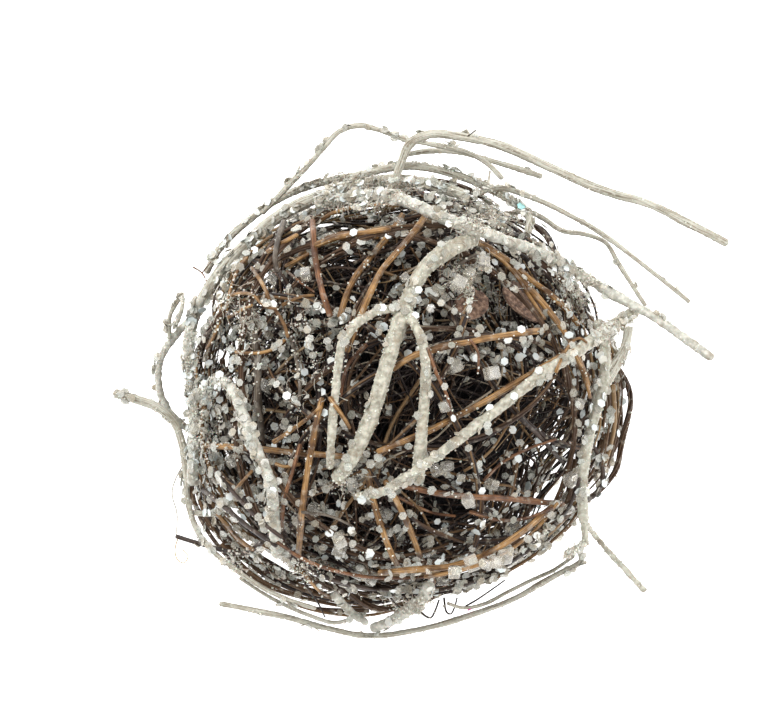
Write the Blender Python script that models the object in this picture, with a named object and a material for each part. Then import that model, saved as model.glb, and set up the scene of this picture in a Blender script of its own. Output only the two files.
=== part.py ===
"""A decorative ball wound from dark rootlets, brown stems and frosted twigs.

The ball lies on a small flat spot and is seen from straight above: +X is the picture's right, +Y its top.
Twigs are laid in turn over the rootlet tangle and over the twigs under them, with one clearance.
Routes are hand-read points of the picture, in pixels, and count as shares of the ball's radius.
All other sizes are in metres.
"""

import math
from collections import namedtuple

import bmesh
import bpy
import numpy as np
from mathutils import Matrix, Vector
from mathutils.bvhtree import BVHTree

# Driving dimensions
BALL_RADIUS = 0.050
TWIG_LAYER = 0.0050  # depth of the vines and twigs over the rootlet tangle
HOLLOW_DEPTH = 0.0085  # of the dark hollows between the windings of the tangle
FLAT_SPOT_RADIUS = 0.014
VINE_DIAMETER = 0.0016
BROWN_DIAMETER = 0.0014
HIDDEN_FROSTED_DIAMETER = 0.0026
SCALE_THICKNESS = 0.0007
CRYSTAL_SIZE = 0.0030
CRYSTAL_BEVEL = 0.0003
CLEARANCE = 0.0003
RING_STEP = 0.0055  # from one ring of a twig's mesh to the next
VINE_RING_STEP = 0.0073
FACET_WIDTH = 0.0016

TANGLE_RADIUS = BALL_RADIUS - TWIG_LAYER
FLAT_SPOT_DEPTH = math.sqrt(TANGLE_RADIUS**2 - FLAT_SPOT_RADIUS**2)

# How the picture's pixels relate to the ball
PICTURE_CENTRE = (400.0, 391.0)
PICTURE_RADIUS = 215.0
VIEW_DISTANCE = 25.2  # from the ball's middle to the eye, in ball radii

# Where the tangle is hollow: the sum of three waves at a hollow's edge and on its floor
HOLLOW_EDGE = -0.5
HOLLOW_FLOOR = 1.6
# Hollows fade out round the flat spot: the rise of a direction from the ball's middle
HOLLOWS_END = -0.90
HOLLOWS_FULL = -0.62

RIM_HEIGHT = 0.30  # of a twig that shows in front of the rim, over the ball's middle, in ball radii

# How twigs are laid
SAMPLE_STEP = 0.0008
STEEPEST_CLIMB = 0.34
SETTLING_ROUNDS = 90
LIFT_OUT_BELOW = 0.05  # the rise of a ring over the ball's middle, in its distances from there
LIFT_UP_ABOVE = 0.25
FARTHEST_TOUCH = 0.4 * BALL_RADIUS
SWELLING = 1.12  # at every fourth ring, as at a bud
FREE_FROM = 1.06  # a twig this far from the ball's middle, in ball radii, hangs free of it

# A route point is a pixel, which lies on the tangle, or a pixel and its height over the ball's middle
# in ball radii. Diameters are at the route's first and last point.
Twig = namedtuple("Twig", "name start_diameter end_diameter route")
Arc = namedtuple("Arc", "name frosted azimuth tilt span")
Winding = namedtuple("Winding", "name tilt reach start turns")
Scale = namedtuple("Scale", "name pixel half_length half_width turn")

FROSTED_TWIGS = [
    Twig("upper_left_arc", 0.0030, 0.0026, [
        (203, 300, 0.10), (218, 275, 0.12), (238, 253, 0.14), (268, 224, 0.16), (303, 203, 0.18),
        (340, 190, 0.20), (380, 181, 0.20), (420, 182, 0.22), (462, 194, 0.24)]),
    Twig("crown_arc", 0.0016, 0.0019, [
        (207, 272, -0.10), (222, 246, -0.08), (245, 224, -0.06), (278, 200, -0.05), (316, 184, -0.05),
        (360, 175, -0.05), (404, 166, -0.04), (442, 171, -0.04), (480, 184, -0.02), (510, 200, 0.0),
        (528, 215, 0.04), (528, 231, 0.16)]),
    Twig("left_upright_twig", 0.0024, 0.0026, [
        (200, 300, 0.34), (190, 335, 0.22), (192, 380, 0.18), (195, 430, 0.20), (192, 482, 0.22)]),
    Twig("left_bent_twig", 0.0022, 0.0028, [
        (192, 403, 0.42), (206, 388), (222, 380), (237, 394), (250, 428), (264, 461), (273, 484),
        (275, 513), (279, 550)]),
    Twig("shoulder_twig", 0.0030, 0.0019, [
        (318, 203), (350, 199), (388, 198), (413, 207), (446, 222), (474, 232), (503, 242), (550, 258),
        (583, 276, 0.42), (613, 294, 0.38), (638, 308, 0.38), (662, 322, 0.38), (711, 357, 0.40)]),
    Twig("right_stub", 0.0020, 0.0030, [
        (629, 329, 0.05), (620, 350, 0.10), (608, 374, 0.20), (597, 400, 0.32)]),
    Twig("left_tip_twig", 0.0021, 0.0017, [
        (118, 393, 0.02), (145, 401, 0.02), (168, 412, 0.02), (181, 432, 0.0), (186, 457, -0.02),
        (190, 484, -0.04)]),
    Twig("left_loop_twig", 0.0017, 0.0015, [
        (200, 312, 0.02), (186, 325, 0.0), (167, 348, -0.06), (159, 372, -0.12), (163, 398, -0.18),
        (174, 416, -0.22), (187, 428, -0.30)]),
    Twig("left_thin_loop", 0.0010, 0.0010, [
        (170, 338, 0.06), (170, 318, 0.10), (178, 298, 0.14), (187, 300, 0.18), (191, 314, 0.14),
        (193, 332, 0.06)]),
    Twig("low_left_sweep", 0.0014, 0.0010, [
        (188, 446, -0.16), (189, 482, -0.20), (193, 510, -0.20), (205, 537, -0.18), (222, 555, -0.15),
        (241, 569, -0.12), (264, 585, -0.10), (291, 597, -0.08), (316, 605, -0.06)]),
    Twig("low_left_hook", 0.0014, 0.0018, [
        (190, 512, 0.06), (212, 513, 0.18), (229, 502, 0.36), (238, 490)]),
    Twig("lower_left_spur", 0.0013, 0.0010, [
        (262, 541, 0.36), (245, 553, 0.16), (224, 550, 0.10), (200, 543, 0.06), (177, 536, 0.02)]),
    Twig("bottom_thin_twig", 0.0008, 0.0009, [
        (241, 577, 0.06), (272, 597, 0.04), (305, 612, 0.02), (330, 621, 0.0), (352, 618, 0.08)]),
    Twig("bottom_stub", 0.0029, 0.0022, [(429, 584), (418, 601, 0.22), (398, 613, 0.14), (373, 628, 0.08)]),
    Twig("bottom_peg", 0.0019, 0.0016, [(334, 594), (345, 606, 0.16), (356, 616, 0.14), (366, 622, 0.20)]),
    Twig("bottom_arc", 0.0013, 0.0013, [
        (222, 602, -0.05), (253, 608, -0.08), (291, 616, -0.10), (326, 626, -0.12), (372, 634, -0.14),
        (426, 626, -0.12), (474, 612, -0.10), (513, 597, -0.08), (541, 581, -0.05), (568, 566, -0.02),
        (582, 557, 0.02), (577, 546, 0.08)]),
    Twig("bottom_right_line", 0.0008, 0.0009, [
        (448, 603, 0.16), (472, 608, 0.04), (495, 598, 0.05), (522, 584, 0.06), (551, 571, 0.08),
        (573, 556, 0.12)]),
    Twig("right_dark_loop", 0.0010, 0.0012, [
        (586, 436, 0.38), (597, 452, 0.33), (603, 472, 0.30), (600, 489, 0.31), (590, 498, 0.35),
        (577, 497, 0.42)]),
    Twig("diagonal_twig", 0.0030, 0.0019, [
        (634, 312, 0.30), (600, 334, 0.42), (566, 356), (532, 379), (503, 403), (465, 432), (432, 457),
        (407, 474), (379, 491), (358, 495)]),
    Twig("high_loop_twig", 0.0013, 0.0012, [
        (262, 212, 0.06), (278, 196, 0.10), (295, 178, 0.13), (315, 157, 0.16), (335, 134, 0.19),
        (352, 125, 0.21), (375, 128, 0.23), (400, 137, 0.24), (430, 143, 0.25), (465, 151, 0.27),
        (485, 161, 0.30), (502, 177, 0.36)]),
    Twig("short_spray_twig", 0.0011, 0.0013, [
        (399, 182, 0.02), (403, 165, 0.05), (411, 155, 0.07), (427, 151, 0.09), (450, 151, 0.10),
        (472, 155, 0.11), (516, 168, 0.13), (541, 176, 0.14)]),
    Twig("long_spray_twig", 0.0020, 0.0019, [
        (392, 186, 0.34), (399, 168, 0.36), (405, 150, 0.38), (415, 138, 0.40), (432, 133, 0.42),
        (457, 135, 0.43), (499, 144, 0.45), (543, 163, 0.46), (589, 184, 0.46), (618, 194, 0.46),
        (650, 203, 0.46), (688, 222, 0.45), (727, 242, 0.44)]),
    Twig("middle_spray_twig", 0.0013, 0.0010, [
        (478, 192, 0.12), (492, 186, 0.14), (512, 190, 0.16), (536, 198, 0.18), (565, 212, 0.20),
        (600, 231, 0.21), (623, 248, 0.22), (654, 272, 0.22), (690, 301, 0.22)]),
    Twig("kinked_spray_twig", 0.0012, 0.0010, [
        (506, 216, -0.24), (522, 212, -0.18), (536, 214, -0.12), (558, 229, -0.06), (577, 234, -0.03),
        (599, 236, 0.0), (613, 255, 0.01), (626, 276, 0.02), (645, 305, 0.04)]),
]

# Forked twigs: a name, then the stem and the branches that leave it
FORKED_BRANCH = ("forked_branch", [
    Twig("stem", 0.0038, 0.0034, [
        (472, 240), (447, 251), (424, 268), (410, 292), (399, 322), (386, 364), (371, 415), (354, 453),
        (337, 477)]),
    Twig("left_branch", 0.0022, 0.0020, [
        (399, 320), (385, 310), (368, 314), (349, 330), (340, 350), (336, 390), (332, 430), (330, 466)]),
    Twig("right_branch", 0.0022, 0.0029, [
        (400, 322), (415, 329), (425, 348), (425, 380), (422, 420), (417, 480)]),
])
RIGHT_FORKED_TWIG = ("right_forked_twig", [
    Twig("stem", 0.0024, 0.0026, [
        (597, 322, 0.36), (604, 344, 0.30), (602, 379, 0.28), (596, 407, 0.30), (587, 436, 0.34),
        (582, 465, 0.34), (580, 494, 0.30), (582, 519, 0.26)]),
    Twig("long_branch", 0.0014, 0.0017, [
        (582, 515, 0.26), (599, 541, 0.24), (622, 566, 0.22), (645, 591, 0.20)]),
    Twig("short_branch", 0.0019, 0.0021, [
        (582, 512, 0.26), (582, 530, 0.22), (576, 547, 0.20), (563, 553, 0.26)]),
])

# Bare brown stems that lie on the tangle
BROWN_ROUTES = {
    "brown_stem_low_left": [(322, 398), (313, 440), (305, 490), (299, 553)],
    "brown_stem_upper_1": [(402, 215), (390, 233), (367, 261), (351, 283), (340, 316)],
    "brown_stem_upper_2": [(428, 212), (416, 230), (399, 250), (381, 271), (363, 309), (347, 350)],
    "brown_stem_upper_3": [(313, 222), (316, 261), (323, 293), (330, 315)],
    "brown_stem_upper_4": [(300, 255), (322, 241), (346, 234), (378, 236)],
    "brown_stem_right_1": [(474, 240), (507, 260), (532, 281), (556, 300), (577, 324)],
    "brown_stem_right_2": [(512, 270), (542, 303), (559, 326), (573, 350), (586, 385)],
    "brown_stem_middle_1": [(392, 368), (415, 354), (450, 345), (496, 336), (541, 330)],
    "brown_stem_middle_2": [(378, 450), (426, 430), (474, 406), (515, 382), (548, 362), (581, 344)],
    "brown_stem_lower_1": [(400, 484), (446, 493), (503, 497), (562, 504)],
    "brown_stem_lower_2": [(367, 470), (375, 507), (390, 549), (402, 572)],
    "brown_stem_lower_3": [(385, 480), (404, 515), (421, 558), (433, 582)],
    "brown_stem_lower_4": [(380, 570), (398, 568), (446, 564), (480, 553), (513, 534), (550, 505)],
    "brown_stem_left_1": [(206, 445), (262, 448), (301, 452), (345, 455)],
    "brown_stem_left_2": [(255, 300), (256, 350), (259, 400), (262, 438)],
}

# Dark vines wound round and round. Degrees give a loop's tilt, angular radius and first azimuth.
LOOP_ADVANCE = 77.0  # how far a loop turns about the upright axis from one winding to the next
WOUND_VINES = [
    Winding("wound_vine_1", 86.0, 62.0, 100.0, 3.2),
    Winding("wound_vine_2", 50.0, 66.0, 0.0, 3.1),
    Winding("wound_vine_3", 70.0, 78.0, 215.0, 2.9),
    Winding("wound_vine_4", 35.0, 84.0, 310.0, 2.9),
]

# Twigs round the side that the picture doesn't show: angles in degrees, of the arc's plane and of its span
HIDDEN_ARCS = [
    Arc("hidden_frosted_arc_1", True, 25.0, 56.0, 120.0),
    Arc("hidden_frosted_arc_2", True, 150.0, 52.0, 110.0),
    Arc("hidden_brown_arc_1", False, 265.0, 58.0, 130.0),
    Arc("hidden_brown_arc_2", False, 330.0, 45.0, 120.0),
]

BARK_SCALES = [
    Scale("bark_scale_large", (523, 302), 0.0062, 0.0042, -35.0),
    Scale("bark_scale_small", (470, 305), 0.0045, 0.0034, 30.0),
]

CRYSTAL_PIXELS = [(449, 300), (452, 366), (482, 374), (229, 462), (458, 530), (342, 542)]


class Pile:
    """What is laid so far: points along every twig with the twig's radius there."""

    def __init__(self):
        self.points = np.zeros((0, 3))
        self.radii = np.zeros(0)

    def add(self, points, radii):
        self.points = np.vstack([self.points, points])
        self.radii = np.concatenate([self.radii, radii])

    def lift(self, place, radius):
        """How far a ball at the place has to move away from the middle to clear the tangle and the pile."""
        distance = np.linalg.norm(place)
        lift = max(0.0, TANGLE_RADIUS + radius + CLEARANCE - distance)
        apart = self.radii + radius + CLEARANCE
        offset = self.points - place
        near = (offset**2).sum(axis=1) < (apart - 1e-6)**2
        if near.any():
            along = self.points[near] @ (place / distance)
            aside = (self.points[near]**2).sum(axis=1) - along**2
            over = along + np.sqrt(np.maximum(0.0, apart[near]**2 - aside))
            lift = max(lift, over.max() - distance)
        return lift

    def gap(self, places, sizes):
        """How far a twig is from the tangle or the pile, and the way to the nearest of them."""
        reach = np.linalg.norm(places, axis=1)
        ground = np.array([tangle_reach(direction) for direction in places / reach[:, None]])
        over_tangle = reach - sizes - ground
        lowest = over_tangle.argmin()
        gap = over_tangle[lowest]
        way = -places[lowest] / reach[lowest]
        for place, size in zip(places, sizes):
            apart = np.linalg.norm(self.points - place, axis=1)
            gaps = apart - self.radii - size
            nearest = gaps.argmin()
            if gaps[nearest] < gap:
                gap = gaps[nearest]
                way = (self.points[nearest] - place) / apart[nearest]
        return gap, way

    def move_to_touch(self, places, sizes):
        """The shortest move up or down that brings a twig to its nearest neighbour, with the clearance.

        Up and down keep its place in the picture. A twig with nothing over or under it moves aside.
        """
        found = []
        for step in (np.array([0.0, 0.0, 1.0]), np.array([0.0, 0.0, -1.0])):
            moved = 0.0
            while moved < FARTHEST_TOUCH:
                gap, _ = self.gap(places + step * moved, sizes)
                if gap < 2 * CLEARANCE:
                    found.append((moved, step))
                    break
                moved += gap - CLEARANCE
        if found:
            moved, step = min(found, key=lambda pair: pair[0])
            return step * moved
        gap, way = self.gap(places, sizes)
        return way * (gap - CLEARANCE)


def smooth_step(value, start, end):
    share = min(1.0, max(0.0, (value - start) / (end - start)))
    return share * share * (3 - 2 * share)


def make_material(name, colour, roughness):
    made = bpy.data.materials.new(name)
    made.use_nodes = True
    shader = made.node_tree.nodes["Principled BSDF"]
    shader.inputs["Base Color"].default_value = (*colour, 1.0)
    shader.inputs["Roughness"].default_value = roughness
    shader.inputs["Metallic"].default_value = 0.0
    return made


def add_piece(name, mesh, finish):
    piece = bpy.data.objects.new(name, mesh)
    bpy.context.scene.collection.objects.link(piece)
    mesh.materials.append(finish)
    mesh.shade_smooth()
    mesh.set_sharp_from_angle(angle=math.radians(50))
    return piece


def mesh_from(bm, name):
    mesh = bpy.data.meshes.new(name)
    bm.to_mesh(mesh)
    bm.free()
    return mesh


def picture_point(point):
    """A route point's place from the ball's middle, in metres, under the picture's perspective."""
    across = (point[0] - PICTURE_CENTRE[0]) / PICTURE_RADIUS
    up = (PICTURE_CENTRE[1] - point[1]) / PICTURE_RADIUS
    if len(point) == 3:
        height = point[2]
    else:
        reach = TANGLE_RADIUS / BALL_RADIUS
        height = math.sqrt(max(RIM_HEIGHT**2, reach**2 - across**2 - up**2))
        nearer = 1.0 - height / VIEW_DISTANCE
        height = math.sqrt(max(RIM_HEIGHT**2, reach**2 - (across**2 + up**2) * nearer**2))
    nearer = 1.0 - height / VIEW_DISTANCE
    return np.array([across * nearer, up * nearer, height]) * BALL_RADIUS


def smooth_curve(route):
    """Points a ring step apart on the Catmull-Rom curve through a route's points."""
    points = np.array([picture_point(point) for point in route])
    knots = np.vstack([2 * points[0] - points[1], points, 2 * points[-1] - points[-2]])
    fine = []
    for a, b, c, d in zip(knots, knots[1:], knots[2:], knots[3:]):
        for t in np.linspace(0, 1, 24, endpoint=False):
            linear = (c - a) * t
            square = (2 * a - 5 * b + 4 * c - d) * t**2
            cube = (3 * b - a - 3 * c + d) * t**3
            fine.append(0.5 * (2 * b + linear + square + cube))
    fine = np.array(fine + [points[-1]])
    run = np.concatenate([[0.0], np.cumsum(np.linalg.norm(np.diff(fine, axis=0), axis=1))])
    wanted = np.linspace(0, run[-1], max(3, round(run[-1] / RING_STEP) + 1))
    return np.stack([np.interp(wanted, run, fine[:, i]) for i in range(3)], axis=1)


def great_circle(azimuth, tilt, start, span, wobble, count):
    """Rings on the tangle along part of a great circle, whose plane has an azimuth and a tilt."""
    turn = Matrix.Rotation(math.radians(azimuth), 3, "Z") @ Matrix.Rotation(math.radians(tilt), 3, "X")
    rings = []
    for angle in np.linspace(math.radians(start), math.radians(start + span), count):
        flat = Vector((math.cos(angle), math.sin(angle), wobble * math.sin(3 * angle)))
        rings.append(np.array((turn @ flat).normalized()) * TANGLE_RADIUS)
    return np.array(rings)


def taper(count, start_diameter, end_diameter):
    """Radii from one end to the other, with swellings."""
    radii = np.linspace(start_diameter, end_diameter, count) / 2
    radii[2:-1:4] *= SWELLING
    return radii


def between_rings(rings, radii):
    """Points close together along the runs between rings: places, radii and the run that each is on."""
    places, sizes, runs = [], [], []
    for i in range(len(rings) - 1):
        length = np.linalg.norm(rings[i + 1] - rings[i])
        for t in np.linspace(0, 1, max(2, int(length / SAMPLE_STEP) + 1)):
            places.append(rings[i] * (1 - t) + rings[i + 1] * t)
            sizes.append(radii[i] * (1 - t) + radii[i + 1] * t)
            runs.append(i)
    return np.array(places), np.array(sizes), np.array(runs)


def moved_out(rings, height, raised):
    """Rings moved away from the middle: straight up where the picture looks down on them, so that they keep
    their place in it, and straight out at the rim and below."""
    out = rings * (raised / height)[:, None]
    up = rings.copy()
    up[:, 2] = np.sqrt(np.maximum(0.0, raised**2 - rings[:, 0]**2 - rings[:, 1]**2))
    share = np.array([smooth_step(rise, LIFT_OUT_BELOW, LIFT_UP_ABOVE) for rise in rings[:, 2] / height])
    moved = out + (up - out) * share[:, None]
    return moved * (raised / np.linalg.norm(moved, axis=1))[:, None]


def settled(rings, radii, pile, first_moves=True):
    """The rings, moved outwards until the twig clears the pile and climbs no steeper than it can bend."""
    held = 0 if first_moves else 1
    for _ in range(SETTLING_ROUNDS):
        places, sizes, runs = between_rings(rings, radii)
        lifts = np.array([pile.lift(place, size) for place, size in zip(places, sizes)])
        height = np.linalg.norm(rings, axis=1)
        raised = height.copy()
        for run in range(len(rings) - 1):
            for ring in (run, run + 1):
                raised[ring] = max(raised[ring], height[ring] + lifts[runs == run].max())
        raised[:held] = height[:held]
        if np.allclose(raised, height, atol=1e-6):
            break
        climb = np.linalg.norm(np.diff(rings, axis=0), axis=1) * STEEPEST_CLIMB
        free = height > BALL_RADIUS * FREE_FROM
        for i in range(1, len(rings)):
            if not free[i]:
                raised[i] = max(raised[i], raised[i - 1] - climb[i - 1])
        for i in range(len(rings) - 2, held - 1, -1):
            if not free[i]:
                raised[i] = max(raised[i], raised[i + 1] - climb[i])
        rings = moved_out(rings, height, raised)
    return rings


def tube(name, rings, radii):
    """A closed tube through the rings, with flat ends. Thicker twigs get more sides."""
    sides = min(7, max(4, round(2 * math.pi * max(radii) / FACET_WIDTH)))
    runs = np.gradient(rings, axis=0)
    runs /= np.linalg.norm(runs, axis=1)[:, None]
    up = rings[0] if abs(rings[0] @ runs[0]) < 0.9 * np.linalg.norm(rings[0]) else np.array([0.0, 0.0, 1.0])
    bm = bmesh.new()
    loops = []
    for centre, radius, run in zip(rings, radii, runs):
        up = up - run * (up @ run)
        up /= np.linalg.norm(up)
        side = np.cross(run, up)
        loop = []
        for k in range(sides):
            angle = 2 * math.pi * (k + 0.5) / sides
            loop.append(bm.verts.new(centre + radius * (math.sin(angle) * side - math.cos(angle) * up)))
        loops.append(loop)
    for lower, upper in zip(loops, loops[1:]):
        for k in range(sides):
            after = (k + 1) % sides
            bm.faces.new((lower[k], lower[after], upper[after], upper[k]))
    bm.faces.new(loops[0][::-1])
    bm.faces.new(loops[-1])
    bmesh.ops.recalc_face_normals(bm, faces=bm.faces)
    return mesh_from(bm, name)


def lay(name, rings, radii, finish, pile):
    """Settles one twig on the pile, so that it touches something, and adds it."""
    rings = settled(rings, radii, pile)
    places, sizes, _ = between_rings(rings, radii)
    move = pile.move_to_touch(places, sizes)
    rings = rings + move
    places = places + move
    pile.add(places, sizes)
    add_piece(name, tube(name, rings, radii), finish)


def lay_twig(twig, finish, pile):
    rings = smooth_curve(twig.route)
    lay(twig.name, rings, taper(len(rings), twig.start_diameter, twig.end_diameter), finish, pile)


def lay_fork(name, members, finish, pile):
    """A stem and its branches as one solid. Each branch starts on the stem's own line."""
    laid = []
    stem_line = None
    for twig in members:
        rings = smooth_curve(twig.route)
        radii = taper(len(rings), twig.start_diameter, twig.end_diameter)
        if stem_line is not None:
            rings[0] = stem_line[np.linalg.norm(stem_line - rings[0], axis=1).argmin()]
        rings = settled(rings, radii, pile, first_moves=stem_line is None)
        places, sizes, _ = between_rings(rings, radii)
        if stem_line is None:
            stem_line = places
        laid.append((twig, rings, radii, places, sizes))
    fork = None
    for twig, rings, radii, places, sizes in laid:
        pile.add(places, sizes)
        piece = add_piece(f"{name}_{twig.name}", tube(twig.name, rings, radii), finish)
        if fork is None:
            fork = piece
            fork.name = name
            continue
        piece.hide_render = True
        piece.display_type = "WIRE"
        union = fork.modifiers.new(twig.name, "BOOLEAN")
        union.operation = "UNION"
        union.solver = "EXACT"
        union.use_self = True  # branches may leave the stem at one place, and so overlap each other
        union.object = piece


def tangle_reach(direction):
    """How far the tangle reaches from the ball's middle: full where windings cross, less in the hollows."""
    x, y, z = direction
    waves = math.sin(9.2 * x + 2.0 * y + 1.1) + math.sin(8.7 * y - 3.0 * z)
    waves += math.sin(9.1 * z + 2.6 * x + 0.5)
    hollow = smooth_step(waves, HOLLOW_EDGE, HOLLOW_FLOOR) * smooth_step(z, HOLLOWS_END, HOLLOWS_FULL)
    return TANGLE_RADIUS - HOLLOW_DEPTH * hollow


def add_tangle(finish):
    """The dense mass of rootlets: a ball with hollows, cut flat where it rests. Gives its tree for rays."""
    bm = bmesh.new()
    bmesh.ops.create_icosphere(bm, subdivisions=4, radius=1.0)
    for vert in bm.verts:
        direction = vert.co.normalized()
        vert.co = direction * tangle_reach(direction)
    everything = bm.verts[:] + bm.edges[:] + bm.faces[:]
    cut = bmesh.ops.bisect_plane(bm, geom=everything, dist=1e-6, plane_co=(0, 0, -FLAT_SPOT_DEPTH),
                                 plane_no=(0, 0, -1), clear_outer=True)
    rim = [item for item in cut["geom_cut"] if isinstance(item, bmesh.types.BMEdge)]
    bmesh.ops.triangle_fill(bm, edges=rim, use_beauty=True, normal=(0, 0, -1))
    bmesh.ops.recalc_face_normals(bm, faces=bm.faces)
    surface = BVHTree.FromBMesh(bm)
    add_piece("rootlet_tangle", mesh_from(bm, "rootlet_tangle"), finish)
    return surface


def wound_path(winding):
    """Rings on the tangle along a loop that turns about the upright axis as it goes round."""
    reach = math.radians(winding.reach)
    length = winding.turns * 2 * math.pi * math.sin(reach) * TANGLE_RADIUS
    rings = []
    for turn in np.linspace(0, winding.turns, round(length / VINE_RING_STEP)):
        angle = 2 * math.pi * turn
        aside = math.sin(reach)
        loop = Vector((aside * math.cos(angle), aside * math.sin(angle), math.cos(reach)))
        lean = Matrix.Rotation(math.radians(winding.tilt), 3, "X")
        spin = Matrix.Rotation(math.radians(winding.start + LOOP_ADVANCE * turn), 3, "Z")
        rings.append(np.array(spin @ lean @ loop) * TANGLE_RADIUS)
    return np.array(rings)


def lay_wound_vine(winding, finish, pile):
    """A vine that also climbs over its own earlier windings.

    It is settled a quarter winding at a time, with the next quarter looked at too. It joins the pile one
    quarter later, so that it never climbs over the stretch that it has only just left.
    """
    rings = wound_path(winding)
    radii = taper(len(rings), VINE_DIAMETER, VINE_DIAMETER)
    quarter = round(len(rings) / winding.turns / 4)
    piled = 0
    for first in range(0, len(rings) - 2, quarter):
        ahead = slice(first, first + 2 * quarter + 1)
        rings[ahead] = settled(rings[ahead], radii[ahead], pile, first_moves=first == 0)
        if first > piled:
            places, sizes, _ = between_rings(rings[piled:first + 1], radii[piled:first + 1])
            pile.add(places, sizes)
            piled = first
    places, sizes, _ = between_rings(rings[piled:], radii[piled:])
    pile.add(places, sizes)
    add_piece(winding.name, tube(winding.name, rings, radii), finish)


def lay_hidden_arcs(brown, frosted, pile):
    for arc in HIDDEN_ARCS:
        diameter = HIDDEN_FROSTED_DIAMETER if arc.frosted else BROWN_DIAMETER
        rings = great_circle(arc.azimuth, arc.tilt, 270.0 - arc.span / 2, arc.span, wobble=0.05, count=16)
        radii = taper(len(rings), diameter, diameter)
        lay(arc.name, rings, radii, frosted if arc.frosted else brown, pile)


def lay_bark_scale(scale, finish, pile):
    """A thin curved flake with narrow ends, lying on the tangle."""
    outward = picture_point(scale.pixel)
    outward /= np.linalg.norm(outward)
    level = np.cross([0.0, 1.0, 0.0], outward)
    level /= np.linalg.norm(level)
    turn = math.radians(scale.turn)
    along = level * math.cos(turn) + np.cross(outward, level) * math.sin(turn)
    across = np.cross(outward, along)
    bm = bmesh.new()
    bmesh.ops.create_grid(bm, x_segments=6, y_segments=4, size=1.0)
    low = TANGLE_RADIUS + CLEARANCE
    for vert in bm.verts:
        width = scale.half_width * (0.25 + 0.75 * math.sqrt(1 - vert.co.x**2))
        place = outward * low + along * scale.half_length * vert.co.x + across * width * vert.co.y
        vert.co = Vector(place).normalized() * low
    shell = bmesh.ops.extrude_face_region(bm, geom=bm.faces[:])
    tops = [item for item in shell["geom"] if isinstance(item, bmesh.types.BMVert)]
    for vert in tops:
        vert.co = vert.co.normalized() * (low + SCALE_THICKNESS)
    bmesh.ops.recalc_face_normals(bm, faces=bm.faces)
    bulk = scale.half_width / 2
    middles = [np.array(vert.co.normalized()) * (low + SCALE_THICKNESS - bulk) for vert in tops]
    pile.add(np.array(middles), np.full(len(middles), bulk))
    add_piece(scale.name, mesh_from(bm, scale.name), finish)


def ground_under(outward, surface):
    """How far the tangle reaches under a cube: the highest of its base's middle and corners."""
    turn = outward.to_track_quat("Z", "Y")
    highest = 0.0
    for x, y in ((0, 0), (-1, -1), (-1, 1), (1, -1), (1, 1)):
        start = turn @ Vector((x * CRYSTAL_SIZE / 2, y * CRYSTAL_SIZE / 2, 2 * BALL_RADIUS))
        ground, _, _, _ = surface.ray_cast(start, -outward)
        highest = max(highest, ground.dot(outward))
    return highest


def lay_crystal(name, pixel, finish, pile, surface):
    """A clear cube with broken edges, one face to the tangle."""
    outward = Vector(picture_point(pixel)).normalized()
    place = np.array(outward) * (ground_under(outward, surface) + CLEARANCE + CRYSTAL_SIZE / 2)
    corner = CRYSTAL_SIZE * math.sqrt(3) / 2
    apart = pile.radii + corner + CLEARANCE
    for _ in range(SETTLING_ROUNDS):
        if (np.linalg.norm(pile.points - place, axis=1) >= apart).all():
            break
        place = place + np.array(outward) * CLEARANCE
    pile.add(place[None, :], np.array([corner]))
    bm = bmesh.new()
    bmesh.ops.create_cube(bm, size=CRYSTAL_SIZE)
    bmesh.ops.bevel(bm, geom=bm.edges[:], offset=CRYSTAL_BEVEL, segments=1, affect="EDGES")
    bmesh.ops.rotate(bm, verts=bm.verts, matrix=outward.to_track_quat("Z", "Y").to_matrix())
    bmesh.ops.translate(bm, verts=bm.verts, vec=place)
    add_piece(name, mesh_from(bm, name), finish)


def main():
    for old in list(bpy.data.objects):
        bpy.data.objects.remove(old)
    rootlet = make_material("dark_rootlet", (0.045, 0.030, 0.028), 0.75)
    brown = make_material("brown_stem", (0.30, 0.15, 0.06), 0.60)
    frosted = make_material("frosted_twig", (0.72, 0.70, 0.64), 0.70)
    bark = make_material("bark_scale", (0.16, 0.075, 0.045), 0.75)
    clear = make_material("ice_crystal", (0.86, 0.88, 0.88), 0.10)
    pile = Pile()
    surface = add_tangle(rootlet)
    for scale in BARK_SCALES:
        lay_bark_scale(scale, bark, pile)
    for winding in WOUND_VINES:
        lay_wound_vine(winding, rootlet, pile)
    for name, route in BROWN_ROUTES.items():
        lay_twig(Twig(name, BROWN_DIAMETER, BROWN_DIAMETER, route), brown, pile)
    lay_hidden_arcs(brown, frosted, pile)
    lay_fork(*FORKED_BRANCH, frosted, pile)
    for twig in FROSTED_TWIGS:
        lay_twig(twig, frosted, pile)
    lay_fork(*RIGHT_FORKED_TWIG, frosted, pile)
    for i, pixel in enumerate(CRYSTAL_PIXELS):
        lay_crystal(f"ice_crystal_{i + 1}", pixel, clear, pile, surface)
    for piece in bpy.context.scene.objects:
        piece.location.z = FLAT_SPOT_DEPTH


main()
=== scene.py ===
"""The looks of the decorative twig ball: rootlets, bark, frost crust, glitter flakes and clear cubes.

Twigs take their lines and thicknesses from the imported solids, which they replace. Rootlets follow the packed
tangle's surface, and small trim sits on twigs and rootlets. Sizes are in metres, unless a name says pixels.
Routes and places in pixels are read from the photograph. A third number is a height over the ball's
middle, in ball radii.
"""

import math
from collections import namedtuple

import bmesh
import bpy
import numpy as np
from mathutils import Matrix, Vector, noise
from mathutils.bvhtree import BVHTree
from mathutils.kdtree import KDTree


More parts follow.
